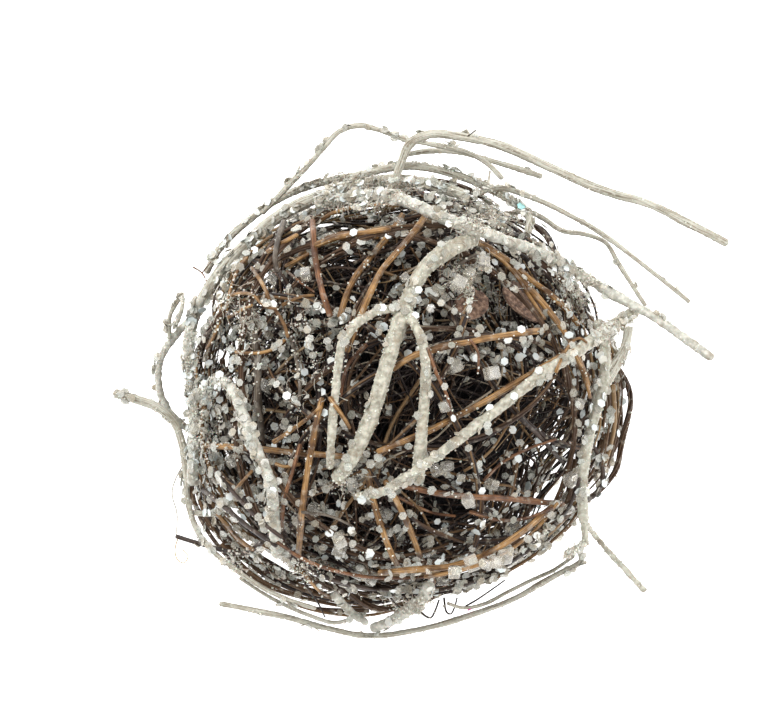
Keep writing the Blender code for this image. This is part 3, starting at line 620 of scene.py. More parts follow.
def twist_vine(name, finish, rng):
    """A wound vine as a loose twist of rootlets, inside its solid's tube."""
    line, radii = centreline(name)
    fine = smooth_line(np.column_stack([line, radii]), VINE_STEP * MM)
    _, ups, across = outward_frames(fine[:, :3])
    shapes = Shapes()
    run = np.arange(len(fine)) * VINE_STEP * MM
    for strand in range(VINE_STRANDS):
        sway = rng.normal(0, 0.5) * np.sin(run / (9 * MM))
        turn = 2 * math.pi * (strand / VINE_STRANDS + run / (VINE_TURN * MM)) + sway
        share = 0.52 + 0.16 * np.sin(run / (rng.uniform(7, 15) * MM) + rng.uniform(0, 6.3))
        aside = ups * np.cos(turn)[:, None] + across * np.sin(turn)[:, None]
        path = fine[:, :3] + aside * (fine[:, 3] * share)[:, None]
        thickness = rng.uniform(0.34, 0.50) * fine[:, 3]
        path = on_the_floor(path, thickness.max())
        first = int(rng.integers(0, 20))
        last = len(path) - int(rng.integers(0, 20))
        add_tube(shapes, path[first:last], thickness[first:last], 4, 0.05 + rng.beta(2.0, 2.2) * 0.82,
                 outward_frames(path[first:last]))
    shapes.piece(name + "_twist", finish, "dark_rootlet", [name], carries=True)
    offer_seats(fine[:, :3], fine[:, 3], 1.0)


def laid_line(route, radius):
    """A line that shows along a route, lies on the solids and climbs gently over what it crosses."""
    step = 1.0 * MM
    flat = smooth_line(route, step / PIXEL)
    reach = []
    for pixel in flat:
        place, _, _, _ = SOLIDS.ray_cast(EYE, ray_through(pixel))
        reach.append((place - MIDDLE).length if place else TANGLE_RADIUS)
    reach = np.array(reach) + radius * 1.1
    apart = np.abs(np.arange(len(flat))[:, None] - np.arange(len(flat))[None, :]) * step
    reach = (reach[None, :] - CLIMB * apart).max(axis=1)
    line = np.array([on_ray(pixel, distance) for pixel, distance in zip(flat, reach)])
    return smooth_line(line[::2] if len(line) > 6 else line, 0.9 * MM)


def draw_strands(finishes):
    """Stems and hairs that the solids leave out, one piece for each finish."""
    gathered = {key: Shapes() for key in finishes}
    rng = np.random.default_rng(31)
    for strand in LAID_STRANDS:
        radius = strand.width * MM / 2
        line = laid_line(strand.route, radius)
        radii = radius * np.linspace(1.0, 0.8, len(line)) * (1 + 0.08 * noise_at(line, 3 * MM, 4.0))
        tone = rng.uniform(0.3, 0.7)
        add_tube(gathered[strand.finish], line, radii, 8, tone, relief=stem_relief, rounded=True)
        offer_seats(line, radii, 0.8, bare=strand.finish != "dark")
    for strand in HUNG_STRANDS:
        line = smooth_line([picture_place(point) for point in strand.route], 0.7 * MM)
        radii = strand.width * MM / 2 * np.linspace(1.0, 0.7, len(line))
        add_tube(gathered[strand.finish], line, radii, 6, rng.uniform(0.3, 0.7), rounded=True)
    for key, shapes in gathered.items():
        shapes.piece("drawn_strands_" + key, finishes[key], "brown_stem", carries=True)


def lay_rim_bundles(finish):
    """Loose windings along the rim, whose ends tuck into the tangle."""
    rng = np.random.default_rng(44)
    shapes = Shapes()
    middle = np.array(PICTURE_CENTRE)
    for bundle in RIM_BUNDLES:
        route = np.array(bundle.route, dtype=float)
        for _ in range(bundle.count):
            scale = 1 + rng.normal(-0.004, 0.024) + rng.normal(0, 0.009, len(route))
            scale[0] -= 0.04
            scale[-1] -= 0.04
            turned = middle + (route - middle) * scale[:, None]
            first = int(rng.integers(0, max(1, len(route) - 3)))
            last = len(route) - int(rng.integers(0, max(1, len(route) - first - 2)))
            height = rng.uniform(*bundle.heights) + rng.normal(0, 0.06, len(route))
            points = np.column_stack([turned, height])[first:last]
            line = smooth_line([picture_place(point) for point in points], 1.8 * MM)
            radius = rng.uniform(0.25, 0.6) * MM
            radii = radius * np.linspace(1.0, rng.uniform(0.5, 1.0), len(line))
            add_tube(shapes, line, radii, 5, rng.uniform(*bundle.tones))
            offer_seats(line, radii, 1.5)
    shapes.piece("rim_windings", finish, "dark_rootlet", carries=True)


# Twigs

def crust(places, grain):
    """Lumpy frost over bark: broad swellings, popcorn lumps and grit."""
    return (0.16 * MM * noise_at(places, 3.0 * MM, 1.0) + 0.25 * MM * noise_at(places, 1.1 * MM, 5.0)
            + 0.12 * MM * noise_at(places, 0.5 * MM, 9.0))


def fine_crust(places, grain):
    """Thin frost that leaves the bark's lengthwise ridges showing."""
    stretched = grain * np.array([0.10, 1.0, 1.0])
    return (0.13 * MM * noise_at(stretched, 0.8 * MM, 3.0) + 0.10 * MM * noise_at(places, 0.8 * MM, 5.0)
            + 0.06 * MM * noise_at(places, 0.4 * MM, 9.0))


def stem_relief(places, grain):
    """Lengthwise ridges of a dry stem."""
    stretched = grain * np.array([0.12, 1.0, 1.0])
    return 0.08 * MM * noise_at(stretched, 0.9 * MM, 2.0) + 0.10 * MM * noise_at(places, 3.5 * MM, 7.0)


def dress_tube(name, finish, slot, sides, step, relief, share, bare=False):
    """One twig, made finer along the line of its solid."""
    line, radii = centreline(name)
    fine = smooth_line(np.column_stack([line, radii]), step)
    shapes = Shapes()
    add_tube(shapes, fine[:, :3], fine[:, 3], sides, 0.5, relief=relief, rounded=True)
    shapes.piece(name + "_bark", finish, slot, [name], carries=True)
    offer_seats(fine[:, :3], fine[:, 3], share, bare)


def dress_fork(name, finish):
    """A forked twig: its solid, rounded by remeshing and smoothing, under the same crust."""
    mesh = bpy.data.meshes.new(name + "_bark")
    bm = welded(name)
    bm.to_mesh(mesh)
    bm.free()
    piece = bpy.data.objects.new(name + "_rounding", mesh)
    bpy.context.scene.collection.objects.link(piece)
    remesh = piece.modifiers.new("remesh", "REMESH")
    remesh.mode = "VOXEL"
    remesh.voxel_size = 0.24 * MM
    smooth = piece.modifiers.new("smooth", "SMOOTH")
    smooth.factor = 0.5
    smooth.iterations = 8
    evaluated = piece.evaluated_get(bpy.context.evaluated_depsgraph_get())
    rounded = bpy.data.meshes.new_from_object(evaluated)
    bpy.data.objects.remove(piece)
    rounded.name = name + "_bark"
    places = np.array([vert.co for vert in rounded.vertices])
    normals = np.array([vert.normal for vert in rounded.vertices])
    places = places + normals * (0.03 * MM + 0.7 * crust(places, None))[:, None]
    rounded.vertices.foreach_set("co", places.astype(np.float32).ravel())
    rounded.materials.clear()
    rounded.shade_smooth()
    add_piece(name + "_bark", rounded, finish, [name])
    CARRIERS.append((places.tolist(), [list(face.vertices) for face in rounded.polygons]))
    FORK_SKIN.append((places, normals))


# Small trim

def orthogonal(rng, normal):
    """A random direction across a normal, and the one across both."""
    side = np.cross(normal, rng.normal(size=3))
    side /= np.linalg.norm(side)
    return side, np.cross(normal, side)


def add_flake(shapes, rng, place, normal, width, tone):
    """A hexagonal glitter flake with a narrow bevelled rim, thinner than a card."""
    side, up = orthogonal(rng, normal)
    angles = math.pi / 3 * np.arange(6)
    rim = side[None, :] * np.cos(angles)[:, None] + up[None, :] * np.sin(angles)[:, None]
    half = FLAKE_THICKNESS / 2
    layers = [(0.92, -1.0), (1.0, 0.0), (0.92, 1.0)]
    verts = np.vstack([place + rim * width / 2 * wide + normal * half * high for wide, high in layers])
    faces = [list(range(5, -1, -1)), list(range(12, 18))]
    for layer in range(2):
        for k in range(6):
            low = layer * 6
            faces.append([low + k, low + (k + 1) % 6, low + 6 + (k + 1) % 6, low + 6 + k])
    shapes.add(verts, faces, tone)


GRAIN_CORNERS = np.array([[1, 0, 0], [-1, 0, 0], [0, 1, 0], [0, -1, 0], [0, 0, 1], [0, 0, -1]], dtype=float)
GRAIN_FACES = [[0, 2, 4], [2, 1, 4], [1, 3, 4], [3, 0, 4], [2, 0, 5], [1, 2, 5], [3, 1, 5], [0, 3, 5]]


def cube_shape():
    """A cube with rounded edges, two units wide, as vertices and faces."""
    bm = bmesh.new()
    bmesh.ops.create_cube(bm, size=2.0)
    bmesh.ops.bevel(bm, geom=bm.edges[:], offset=0.30, segments=2, profile=0.6, affect="EDGES")
    bm.verts.ensure_lookup_table()
    verts = np.array([vert.co for vert in bm.verts])
    faces = [[vert.index for vert in face.verts] for face in bm.faces]
    bm.free()
    return verts, faces


def add_cube(shapes, rng, place, normal, size, shape):
    """A clear moulded cube, slightly out of true."""
    verts, faces = shape
    side, up = orthogonal(rng, normal)
    skewed = verts * rng.uniform(0.86, 1.1, 3) + 0.07 * noise_at(verts, 1.3, rng.uniform(0, 50))[:, None]
    turned = skewed[:, :1] * side + skewed[:, 1:2] * up + skewed[:, 2:] * normal
    shapes.add(place + turned * size / 2, faces)


def add_grains(shapes, rng, places, sizes, tone=0.7):
    """Eight-sided grit, each one squashed and turned its own way."""
    for place, size in zip(places, sizes):
        side, up = orthogonal(rng, spun(rng, 1)[0])
        other = np.cross(side, up)
        corners = GRAIN_CORNERS * rng.uniform(0.6, 1.2, (6, 1))
        turned = corners[:, :1] * side + corners[:, 1:2] * up + corners[:, 2:] * other
        shapes.add(place + turned * size / 2, GRAIN_FACES, tone + rng.uniform(-0.3, 0.3))


def outward_at(line, runs, radii, index, rng, spread):
    """A place on a line's surface, mostly on its outer side, and the way out there."""
    run = runs[index] / np.linalg.norm(runs[index])
    out = line[index] - np.array(MIDDLE)
    out -= run * (out @ run)
    out /= np.linalg.norm(out)
    across = np.cross(run, out)
    turn = rng.normal(0, spread)
    away = out * math.cos(turn) + across * math.sin(turn)
    return line[index] + away * radii[index], away


def pick_seats(rng, count, crowd, spread, keep=None):
    """Random seats in short rows along twigs and strands, more where a seat's share is larger."""
    weights = np.array([share * len(line) for line, _, _, share in SEATS])
    weights = weights / weights.sum()
    made = []
    while len(made) < count:
        line, radii, runs, _ = SEATS[rng.choice(len(SEATS), p=weights)]
        step = np.linalg.norm(line[1] - line[0])
        hop = max(2, round(2.4 * MM / step))
        index = int(rng.integers(len(line)))
        for _ in range(int(rng.integers(1, crowd + 1))):
            if not 0 <= index < len(line):
                break
            place, away = outward_at(line, runs, radii, index, rng, spread)
            place = place + runs[index] * rng.uniform(-0.5, 0.5)
            if place[2] > FLOOR_MARGIN and (keep is None or rng.random() < keep(place)):
                made.append((place, away))
            index += int(rng.integers(1, hop + 1))
    return made[:count]


def crowding(place):
    """How thick the trim lies: thick at the left and the shoulders, thin over the dark windows."""
    across = place[0] / BALL_RADIUS
    up = place[1] / BALL_RADIUS
    thick = LEAST_CROWDING + MORE_CROWDING * max(0.0, -0.8 * across + 0.5 * up)
    if place[2] > MIDDLE.z and inside_ovals(place[None, :], WINDOWS)[0]:
        thick *= WINDOW_CROWDING
    return min(1.0, thick)


def tilted(rng, normal, spread):
    tilt = normal + rng.normal(0, spread, 3)
    return tilt / np.linalg.norm(tilt)


def seat_under(tree, pixel):
    """What shows at a pixel: the place on it, and a way out between its own and the ball's."""
    place, normal, _, _ = tree.ray_cast(EYE, ray_through(pixel))
    if place is None:
        return None, None
    away = np.array(normal) + 1.2 * np.array((place - MIDDLE).normalized())
    return np.array(place), away / np.linalg.norm(away)


# Flakes: clear ones, and opaque bright ones that are painted glints for flakes catching the light
def lay_flakes(tree, glint_finish, clear_finish, pink_finish):
    rng = np.random.default_rng(5)
    glint_shapes = Shapes()
    clear_shapes = Shapes()
    for pixel in FLAKE_PIXELS:
        place, away = seat_under(tree, pixel)
        if place is None or place[2] < FLOOR_MARGIN:
            continue
        # the blue-green flake takes the last tone, a painted glint
        tone = 1.0 if pixel == BLUE_GLINT_FLAKE_PIXEL else rng.uniform(0.5, 0.85)
        normal = tilted(rng, away + np.array([0, 0, 0.6]), 0.12)
        width = FLAKE_WIDTH * rng.uniform(0.85, 1.05)
        add_flake(glint_shapes, rng, place + away * 0.3 * MM, normal, width, tone)
    stems = bare_tree()
    seats = pick_seats(rng, RANDOM_FLAKES, 4, 0.9, crowding)
    for x, y, half_width, half_height, count in DRIFTS:
        spots = rng.uniform(-1, 1, (count, 2)) * (half_width, half_height) + (x, y)
        seats += [seat_under(tree, spot) for spot in spots]
    for place, away in seats:
        if place is None or place[2] < FLOOR_MARGIN:
            continue
        if rng.random() < KEPT_CLEAR and stems.find(Vector(place))[2] < CLEARANCE:
            continue
        glint_share = GLINT_SHARE_AT_SIDES if abs(place[0]) > SIDES_FROM * BALL_RADIUS else GLINT_SHARE_ELSEWHERE
        if np.linalg.norm(place - np.array(MIDDLE)) > LOOSE * BALL_RADIUS:
            glint_share = 0.0
            if rng.random() < LOOSE_LEFT_OUT:
                continue
        shapes = glint_shapes if rng.random() < glint_share else clear_shapes
        seat = place + away * rng.uniform(0.15, 0.5) * MM
        width = FLAKE_WIDTH * rng.uniform(0.78, 1.08)
        add_flake(shapes, rng, seat, tilted(rng, away, 0.38), width, rng.uniform(0.0, 0.85))
    glint_shapes.piece("bright_flakes", glint_finish, "ice_crystal", smooth=False)
    clear_shapes.piece("clear_flakes", clear_finish, "ice_crystal", smooth=False)
    place, away = seat_under(tree, PINK_FLECK_PIXEL)
    if place is not None:
        fleck = Shapes()
        add_flake(fleck, rng, place + away * 0.2 * MM, away, 0.5 * FLAKE_WIDTH, 0.5)
        fleck.piece("pink_fleck", pink_finish, "ice_crystal", smooth=False)


def lay_cubes(tree, finish):
    rng = np.random.default_rng(8)
    shape = cube_shape()
    shapes = Shapes()
    for pixel in CUBE_PIXELS:
        place, away = seat_under(tree, pixel)
        if place is None or place[2] < CUBE_SIZES_UP * CUBE_SIZE:
            continue
        size = CUBE_SIZE * rng.uniform(0.8, 1.0)
        add_cube(shapes, rng, place + away * size * 0.4, tilted(rng, away, 0.2), size, shape)
    for place, away in pick_seats(rng, RANDOM_CUBES, 2, 0.6, crowding):
        size = CUBE_SIZE * rng.uniform(0.6, 1.0)
        if place[2] > CUBE_SIZES_UP * size and np.linalg.norm(place - np.array(MIDDLE)) < BALL_RADIUS:
            add_cube(shapes, rng, place + away * size * 0.45, tilted(rng, away, 0.3), size, shape)
    shapes.piece("clear_cubes", finish, "ice_crystal")


def lay_frost(finish):
    """Grit over everything, and more of it on the frosted twigs."""
    rng = np.random.default_rng(21)
    dust = Shapes()
    seats = pick_seats(rng, GRAIN_SEATS, 6, 1.2, lambda place: 0.35 + 0.65 * crowding(place))
    places = np.array([place for place, _ in seats])
    add_grains(dust, rng, places, MM * rng.uniform(0.45, 0.95, len(places))**2, 0.6)
    for places, normals in FORK_SKIN:
        chosen = rng.integers(0, len(places), len(places) // 70)
        add_grains(dust, rng, places[chosen] + normals[chosen] * 0.1 * MM,
                   MM * rng.uniform(0.45, 0.85, len(chosen))**2, 0.6)
    dust.piece("frost_dust", finish, "frosted_twig", smooth=False)


def lay_matting(tree, fibre_finish, grain_finish):
    """Felted patches of short pale fibres and grit."""
    rng = np.random.default_rng(77)
    fibres = Shapes()
    grains = Shapes()
    for patch in MATTED_PATCHES:
        spots = rng.normal(0, 0.45, (patch.fibres + patch.grains, 2)) * patch.half_size + patch.middle
        for i, pixel in enumerate(spots):
            place, away = seat_under(tree, pixel)
            if place is None or place[2] < FLOOR_MARGIN:
                continue
            if i >= patch.fibres:
                lift = rng.uniform(0.0, 0.5) * MM
                add_grains(grains, rng, [place + away * lift], [rng.uniform(0.35, 0.95) * MM], 0.55)
                continue
            run, bend = orthogonal(rng, away)
            length = rng.uniform(1.2, 4.2) * MM
            t = np.linspace(-0.5, 0.5, 6)[:, None]
            line = place + run * length * t + bend * length * rng.normal(0, 0.5) * t**2
            line = line + away * (rng.uniform(0.1, 0.6) * MM * (1 - 3 * t**2))
            add_tube(fibres, line, np.full(6, rng.uniform(0.06, 0.14) * MM), 3, rng.uniform(0.2, 1.0))
    fibres.piece("matted_fibres", fibre_finish, "frosted_twig")
    grains.piece("matted_grains", grain_finish, "frosted_twig", smooth=False)


# Materials

class Finish:
    """A Principled material with short calls for its nodes."""

    def __init__(self, name, **values):
        self.made = bpy.data.materials.new(name)
        self.made.use_nodes = True
        self.tree = self.made.node_tree
        self.shader = self.tree.nodes["Principled BSDF"]
        for socket, value in values.items():
            self.shader.inputs[socket.replace("_", " ")].default_value = value

    def node(self, kind, **settings):
        made = self.tree.nodes.new(kind)
        for setting, value in settings.items():
            setattr(made, setting, value)
        return made

    def attribute(self, name, output):
        return self.node("ShaderNodeAttribute", attribute_name=name).outputs[output]

    def places(self):
        return self.node("ShaderNodeTexCoord").outputs["Object"]

    def noise(self, size, detail=3.0, stretch=None, source=None):
        """Noise with waves of about the size given; a stretch makes it longer along the first axis."""
        vector = source or self.places()
        scaled = self.node("ShaderNodeVectorMath", operation="MULTIPLY")
        scaled.inputs[1].default_value = (1 / size / (stretch or 1.0), 1 / size, 1 / size)
        self.tree.links.new(vector, scaled.inputs[0])
        made = self.node("ShaderNodeTexNoise")
        made.inputs["Scale"].default_value = 1.0
        made.inputs["Detail"].default_value = detail
        self.tree.links.new(scaled.outputs[0], made.inputs["Vector"])
        return made.outputs["Fac"]

    def ramp(self, value, stops):
        made = self.node("ShaderNodeValToRGB")
        elements = made.color_ramp.elements
        while len(elements) < len(stops):
            elements.new(0.5)
        for element, (position, colour) in zip(elements, stops):
            element.position = position
            element.color = (*colour, 1.0)
        self.tree.links.new(value, made.inputs["Fac"])
        return made.outputs["Color"]

    def spread(self, value, low, high, new_low, new_high):
        made = self.node("ShaderNodeMapRange")
        self.tree.links.new(value, made.inputs["Value"])
        limits = {"From Min": low, "From Max": high, "To Min": new_low, "To Max": new_high}
        for socket, number in limits.items():
            made.inputs[socket].default_value = number
        return made.outputs["Result"]

    def mix(self, share, first, second, blend="MIX"):
        made = self.node("ShaderNodeMix", data_type="RGBA", blend_type=blend)
        for socket, value in ((made.inputs[0], share), (made.inputs[6], first), (made.inputs[7], second)):
            if isinstance(value, bpy.types.NodeSocket):
                self.tree.links.new(value, socket)
            elif isinstance(value, tuple):
                socket.default_value = (*value, 1.0)
            else:
                socket.default_value = value
        return made.outputs[2]

    def bump(self, height, strength, distance):
        made = self.node("ShaderNodeBump")
        made.inputs["Strength"].default_value = strength
        made.inputs["Distance"].default_value = distance
        self.tree.links.new(height, made.inputs["Height"])
        self.tree.links.new(made.outputs["Normal"], self.shader.inputs["Normal"])

    def set(self, socket, output):
        self.tree.links.new(output, self.shader.inputs[socket])


def rootlet_finish():
    """Near-black to red-brown strands, a few of them pale, with frost in patches."""
    finish = Finish("dark_rootlet", Roughness=0.6, Specular_IOR_Level=0.35)
    tone = finish.ramp(finish.attribute("tone", "Fac"), [
        (0.0, (0.013, 0.009, 0.010)), (0.33, (0.036, 0.021, 0.016)), (0.55, (0.092, 0.048, 0.023)),
        (0.74, (0.21, 0.118, 0.048)), (0.88, (0.38, 0.25, 0.12)), (1.0, (0.52, 0.46, 0.36))])
    streaks = finish.ramp(finish.noise(1.2 * MM, stretch=8.0, source=finish.attribute("grain", "Vector")),
                          [(0.3, (0.40, 0.38, 0.40)), (0.65, (1.0, 1.0, 1.0))])
    frost = finish.spread(finish.noise(1.6 * MM, 5.0), 0.57, 0.69, 0.0, 0.55)
    colour = finish.mix(1.0, tone, streaks, "MULTIPLY")
    finish.set("Base Color", finish.mix(frost, colour, (0.42, 0.37, 0.29)))
    finish.set("Roughness", finish.spread(finish.noise(0.8 * MM), 0.3, 0.7, 0.42, 0.8))
    finish.bump(finish.noise(0.25 * MM), 0.5, 0.1 * MM)
    return finish.made


def shade_core_finish():
    """The painted shade core: black, with a little brown."""
    finish = Finish("matted_middle", Roughness=0.85, Specular_IOR_Level=0.2)
    finish.set("Base Color", finish.ramp(finish.noise(1.5 * MM, 5.0), [
        (0.35, (0.004, 0.004, 0.005)), (0.6, (0.012, 0.009, 0.009)), (0.75, (0.035, 0.020, 0.015))]))
    finish.set("Roughness", finish.spread(finish.noise(0.8 * MM), 0.3, 0.7, 0.7, 0.95))
    finish.bump(finish.noise(0.6 * MM, 5.0), 1.0, 0.6 * MM)
    return finish.made


def stem_finish(name, stops, frost=0.32):
    """Dry stem with lengthwise grain and a slightly waxy shine, dusted with frost in patches."""
    finish = Finish(name, Roughness=0.5, Specular_IOR_Level=0.4)
    grain = finish.attribute("grain", "Vector")
    streaks = finish.noise(0.55 * MM, 4.0, stretch=14.0, source=grain)
    colour = finish.ramp(streaks, stops)
    worn = finish.ramp(finish.noise(4.5 * MM, 3.0), [(0.38, (0.36, 0.31, 0.27)), (0.58, (1.0, 1.0, 1.0))])
    frosted = finish.spread(finish.noise(1.6 * MM, 6.0), 0.54, 0.68, 0.0, frost)
    colour = finish.mix(1.0, colour, worn, "MULTIPLY")
    finish.set("Base Color", finish.mix(frosted, colour, (0.50, 0.47, 0.41)))
    finish.set("Roughness", finish.spread(streaks, 0.3, 0.7, 0.35, 0.7))
    finish.bump(streaks, 0.6, 0.15 * MM)
    return finish.made


def crust_finish(name, pale, grey, bare, bareness=0.6):
    """Frost crust over bark: pale lumps, greyer hollows and a little bare bark."""
    finish = Finish(name, Roughness=0.7, Specular_IOR_Level=0.5, Subsurface_Weight=0.12,
                    Subsurface_Scale=0.6 * MM)
    middling = tuple((a + b) / 2 for a, b in zip(grey, pale))
    colour = finish.ramp(finish.noise(1.1 * MM, 6.0), [(0.30, grey), (0.48, middling), (0.62, pale)])
    bark = finish.spread(finish.noise(3.2 * MM, 6.0), 0.56, 0.68, 0.0, bareness)
    finish.set("Base Color", finish.mix(bark, colour, bare))
    finish.set("Roughness", finish.spread(finish.noise(0.4 * MM), 0.35, 0.65, 0.35, 0.85))
    finish.bump(finish.noise(0.45 * MM, 5.0), 0.6, 0.2 * MM)
    return finish.made


def streaked_finish(name, pale, grey, bare):
    """Thin frost on bark with lengthwise streaks."""
    finish = Finish(name, Roughness=0.6, Specular_IOR_Level=0.45, Subsurface_Weight=0.08,
                    Subsurface_Scale=0.5 * MM)
    streaks = finish.noise(0.7 * MM, 5.0, stretch=9.0, source=finish.attribute("grain", "Vector"))
    colour = finish.ramp(streaks, [(0.34, bare), (0.46, grey), (0.62, pale)])
    frost = finish.spread(finish.noise(0.8 * MM, 6.0), 0.50, 0.66, 0.0, 0.7)
    finish.set("Base Color", finish.mix(frost, colour, pale))
    finish.set("Roughness", finish.spread(finish.noise(0.4 * MM), 0.35, 0.65, 0.4, 0.85))
    finish.bump(finish.noise(0.35 * MM, 6.0), 0.7, 0.2 * MM)
    return finish.made


def flake_finish(name, low, high, last, **values):
    """Glitter film: paler and darker flakes, with a painted tint for thin-film colour. The last tone is a
    painted blue-green glint.
    """
    finish = Finish(name, Roughness=0.25, **values)
    tone = finish.ramp(finish.attribute("tone", "Fac"), [(0.0, low), (0.85, high), (1.0, last)])
    painted_iridescent_tint = finish.ramp(finish.noise(2.5 * MM), [
        (0.36, (0.94, 0.99, 0.98)), (0.5, (1, 1, 1)), (0.62, (0.98, 0.92, 0.83))])
    finish.set("Base Color", finish.mix(1.0, tone, painted_iridescent_tint, "MULTIPLY"))
    finish.set("Roughness", finish.spread(finish.noise(0.8 * MM), 0.3, 0.7, 0.12, 0.42))
    finish.bump(finish.noise(0.6 * MM), 0.15, 0.1 * MM)
    return finish.made


def clear_cube_finish():
    """Clear moulded plastic, slightly milky, with a wavy surface."""
    finish = Finish("clear_cube", Roughness=0.08, IOR=1.04, Transmission_Weight=0.74, Coat_Weight=1.0,
                    Coat_Roughness=0.05)
    finish.set("Base Color", finish.ramp(finish.noise(2.2 * MM, 3.0), [
        (0.35, (0.74, 0.70, 0.60)), (0.50, (0.93, 0.91, 0.85)), (0.70, (0.76, 0.69, 0.56))]))
    finish.set("Roughness", finish.spread(finish.noise(2.2 * MM, 2.0), 0.35, 0.7, 0.01, 0.07))
    finish.bump(finish.noise(2.4 * MM, 1.0), 0.06, 0.1 * MM)
    return finish.made


def bark_finish():
    """Velvety red-brown bark."""
    finish = Finish("bark_scale", Roughness=0.8, Sheen_Weight=0.2, Sheen_Roughness=0.4)
    finish.set("Base Color", finish.ramp(finish.noise(0.9 * MM, 6.0), [
        (0.32, (0.040, 0.019, 0.012)), (0.50, (0.155, 0.085, 0.052)), (0.68, (0.34, 0.22, 0.15))]))
    finish.set("Roughness", finish.spread(finish.noise(0.5 * MM), 0.3, 0.7, 0.65, 0.95))
    finish.bump(finish.noise(0.3 * MM, 6.0), 1.0, 0.3 * MM)
    return finish.made


def floor_finish():
    """A pale floor that glows a little, as a light table does."""
    finish = Finish("floor", Roughness=0.9, Specular_IOR_Level=0.1, Emission_Strength=0.9)
    finish.shader.inputs["Emission Color"].default_value = (1.0, 1.0, 1.0, 1.0)
    finish.set("Base Color", finish.ramp(finish.noise(0.2), [
        (0.3, (0.93, 0.93, 0.93)), (0.7, (0.96, 0.96, 0.96))]))
    return finish.made


# The setting

def set_the_scene():
    scene = bpy.context.scene
    scene.view_settings.view_transform = "Standard"
    camera = bpy.data.objects.new("camera", bpy.data.cameras.new("camera"))
    camera.data.sensor_width = SENSOR_WIDTH
    camera.data.lens = SENSOR_WIDTH * VIEW_DISTANCE / (PICTURE_SIZE[0] * PIXEL)
    camera.location = EYE
    scene.collection.objects.link(camera)
    scene.camera = camera
    world = bpy.data.worlds.new("studio")
    world.use_nodes = True
    world.node_tree.nodes["Background"].inputs["Color"].default_value = (1.0, 1.0, 1.0, 1.0)
    world.node_tree.nodes["Background"].inputs["Strength"].default_value = WORLD_STRENGTH
    scene.world = world
    for name, place, size, power in LAMPS:
        light = bpy.data.objects.new(name, bpy.data.lights.new(name, "AREA"))
        light.data.size = size
        light.data.energy = power
        light.location = place
        light.rotation_euler = (MIDDLE - light.location).to_track_quat("-Z", "Y").to_euler()
        scene.collection.objects.link(light)
    bm = bmesh.new()
    bmesh.ops.create_grid(bm, x_segments=4, y_segments=4, size=1.5)
    mesh = bpy.data.meshes.new("floor")
    bm.to_mesh(mesh)
    bm.free()
    floor = bpy.data.objects.new("floor", mesh)
    mesh.materials.append(floor_finish())
    scene.collection.objects.link(floor)


def lay_rootlets(finish):
    # a near-black core as painted shade in the ball's middle
    lay_shade_core(shade_core_finish())
    for family in ROOTLETS:
        lay_family(family, finish)
    lay_rim_bundles(finish)
    rng = np.random.default_rng(63)
    for name in sorted(NODES):
        if name.startswith("wound_vine"):
            twist_vine(name, finish, rng)


def dress_stems():
    """Every bare stem, and the strands that only this script draws."""
    brown = stem_finish("brown_stem", [(0.32, (0.050, 0.022, 0.007)), (0.45, (0.20, 0.098, 0.030)),
                                       (0.57, (0.38, 0.205, 0.068)), (0.70, (0.58, 0.40, 0.20))])
    red = stem_finish("red_stem", [(0.32, (0.034, 0.013, 0.008)), (0.47, (0.15, 0.060, 0.024)),
                                   (0.59, (0.28, 0.125, 0.050)), (0.72, (0.44, 0.27, 0.14))])
    grey = stem_finish("grey_stem", [(0.30, (0.030, 0.022, 0.017)), (0.5, (0.105, 0.082, 0.060)),
                                     (0.75, (0.24, 0.20, 0.15))])
    dark = stem_finish("dark_stem", [(0.30, (0.012, 0.008, 0.008)), (0.5, (0.040, 0.024, 0.018)),
                                     (0.75, (0.13, 0.080, 0.050))], frost=0.25)
    pale = streaked_finish("pale_hair", (0.60, 0.58, 0.50), (0.34, 0.31, 0.25), (0.18, 0.15, 0.10))
    gold = streaked_finish("gold_hair", (0.62, 0.52, 0.30), (0.42, 0.32, 0.15), (0.25, 0.17, 0.08))
    for name in sorted(NODES):
        if name.startswith(("brown_stem", "hidden_brown")):
            finish = grey if name in GREY_STEMS else red if name in RED_STEMS else brown
            dress_tube(name, finish, "brown_stem", 10, 0.7 * MM, stem_relief, 0.8, bare=True)
    for name in BARE_DARK:
        dress_tube(name, dark, "frosted_twig", 8, 0.8 * MM, stem_relief, 0.3)
    draw_strands({"brown": brown, "red": red, "grey": grey, "dark": dark, "pale": pale, "gold": gold})


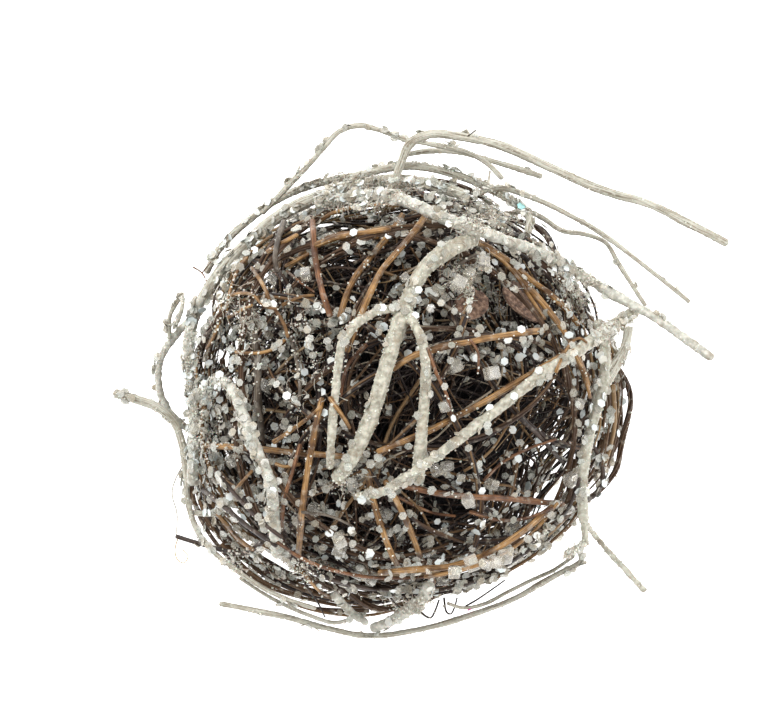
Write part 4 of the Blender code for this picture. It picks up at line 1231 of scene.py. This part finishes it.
def dress_twigs(branch_crust):
    rough = crust_finish("grey_crust", (0.60, 0.59, 0.52), (0.31, 0.30, 0.25), (0.22, 0.17, 0.11))
    # a darker copy of the grey crust: painted shade for the right forked twig
    shaded_copy_of_crust = crust_finish("dim_crust", (0.50, 0.49, 0.41), (0.27, 0.25, 0.19), (0.18, 0.13, 0.08))
    streaked = streaked_finish("streaked_crust", (0.54, 0.53, 0.45), (0.31, 0.28, 0.22), (0.15, 0.12, 0.08))
    for name in ROUGH_TWIGS:
        dress_tube(name, rough, "frosted_twig", 12, 0.36 * MM, crust, 2.2)
    for name in FINE_TWIGS:
        share = 0.5 if name.endswith("spray_twig") or name.startswith("bottom") else 1.3
        share = 0.4 if name == "upper_left_arc" else share
        dress_tube(name, streaked, "frosted_twig", 10, 0.40 * MM, fine_crust, share)
    dress_tube("diagonal_twig", branch_crust, "frosted_twig", 14, 0.33 * MM, crust, 2.0)
    dress_fork("forked_branch", branch_crust)
    # the right forked twig takes the darker crust copy, as painted shade
    dress_fork("right_forked_twig", shaded_copy_of_crust)


def main():
    set_the_scene()
    branch_crust = crust_finish("frost_crust", (0.52, 0.50, 0.41), (0.24, 0.22, 0.17), (0.20, 0.14, 0.08),
                                bareness=0.5)
    dust = crust_finish("frost_grains", (0.78, 0.77, 0.69), (0.50, 0.48, 0.41), (0.34, 0.28, 0.20))
    fuzz = streaked_finish("fuzz", (0.66, 0.63, 0.55), (0.42, 0.37, 0.29), (0.24, 0.17, 0.11))
    lay_rootlets(rootlet_finish())
    dress_stems()
    dress_twigs(branch_crust)
    clear = clear_cube_finish()
    for name in sorted(NODES):
        if name.startswith(("bark_scale", "ice_crystal")):
            NODES[name].data.materials.clear()
            NODES[name].data.materials.append(clear if name.startswith("ice") else bark_finish())
    tree = tree_of(CARRIERS)
    lay_cubes(tree, clear)
    # the opaque bright flakes are painted glints
    lay_flakes(tree,
               flake_finish("bright_flake", (0.50, 0.53, 0.52), (0.86, 0.89, 0.88), (0.50, 0.85, 0.86)),
               flake_finish("clear_flake", (0.44, 0.41, 0.34), (0.84, 0.83, 0.77), (0.85, 0.85, 0.8),
                            Transmission_Weight=0.48),
               flake_finish("pink_flake", (0.80, 0.10, 0.40), (0.85, 0.16, 0.45), (0.9, 0.2, 0.5)))
    lay_frost(dust)
    lay_matting(tree, fuzz, dust)


main()
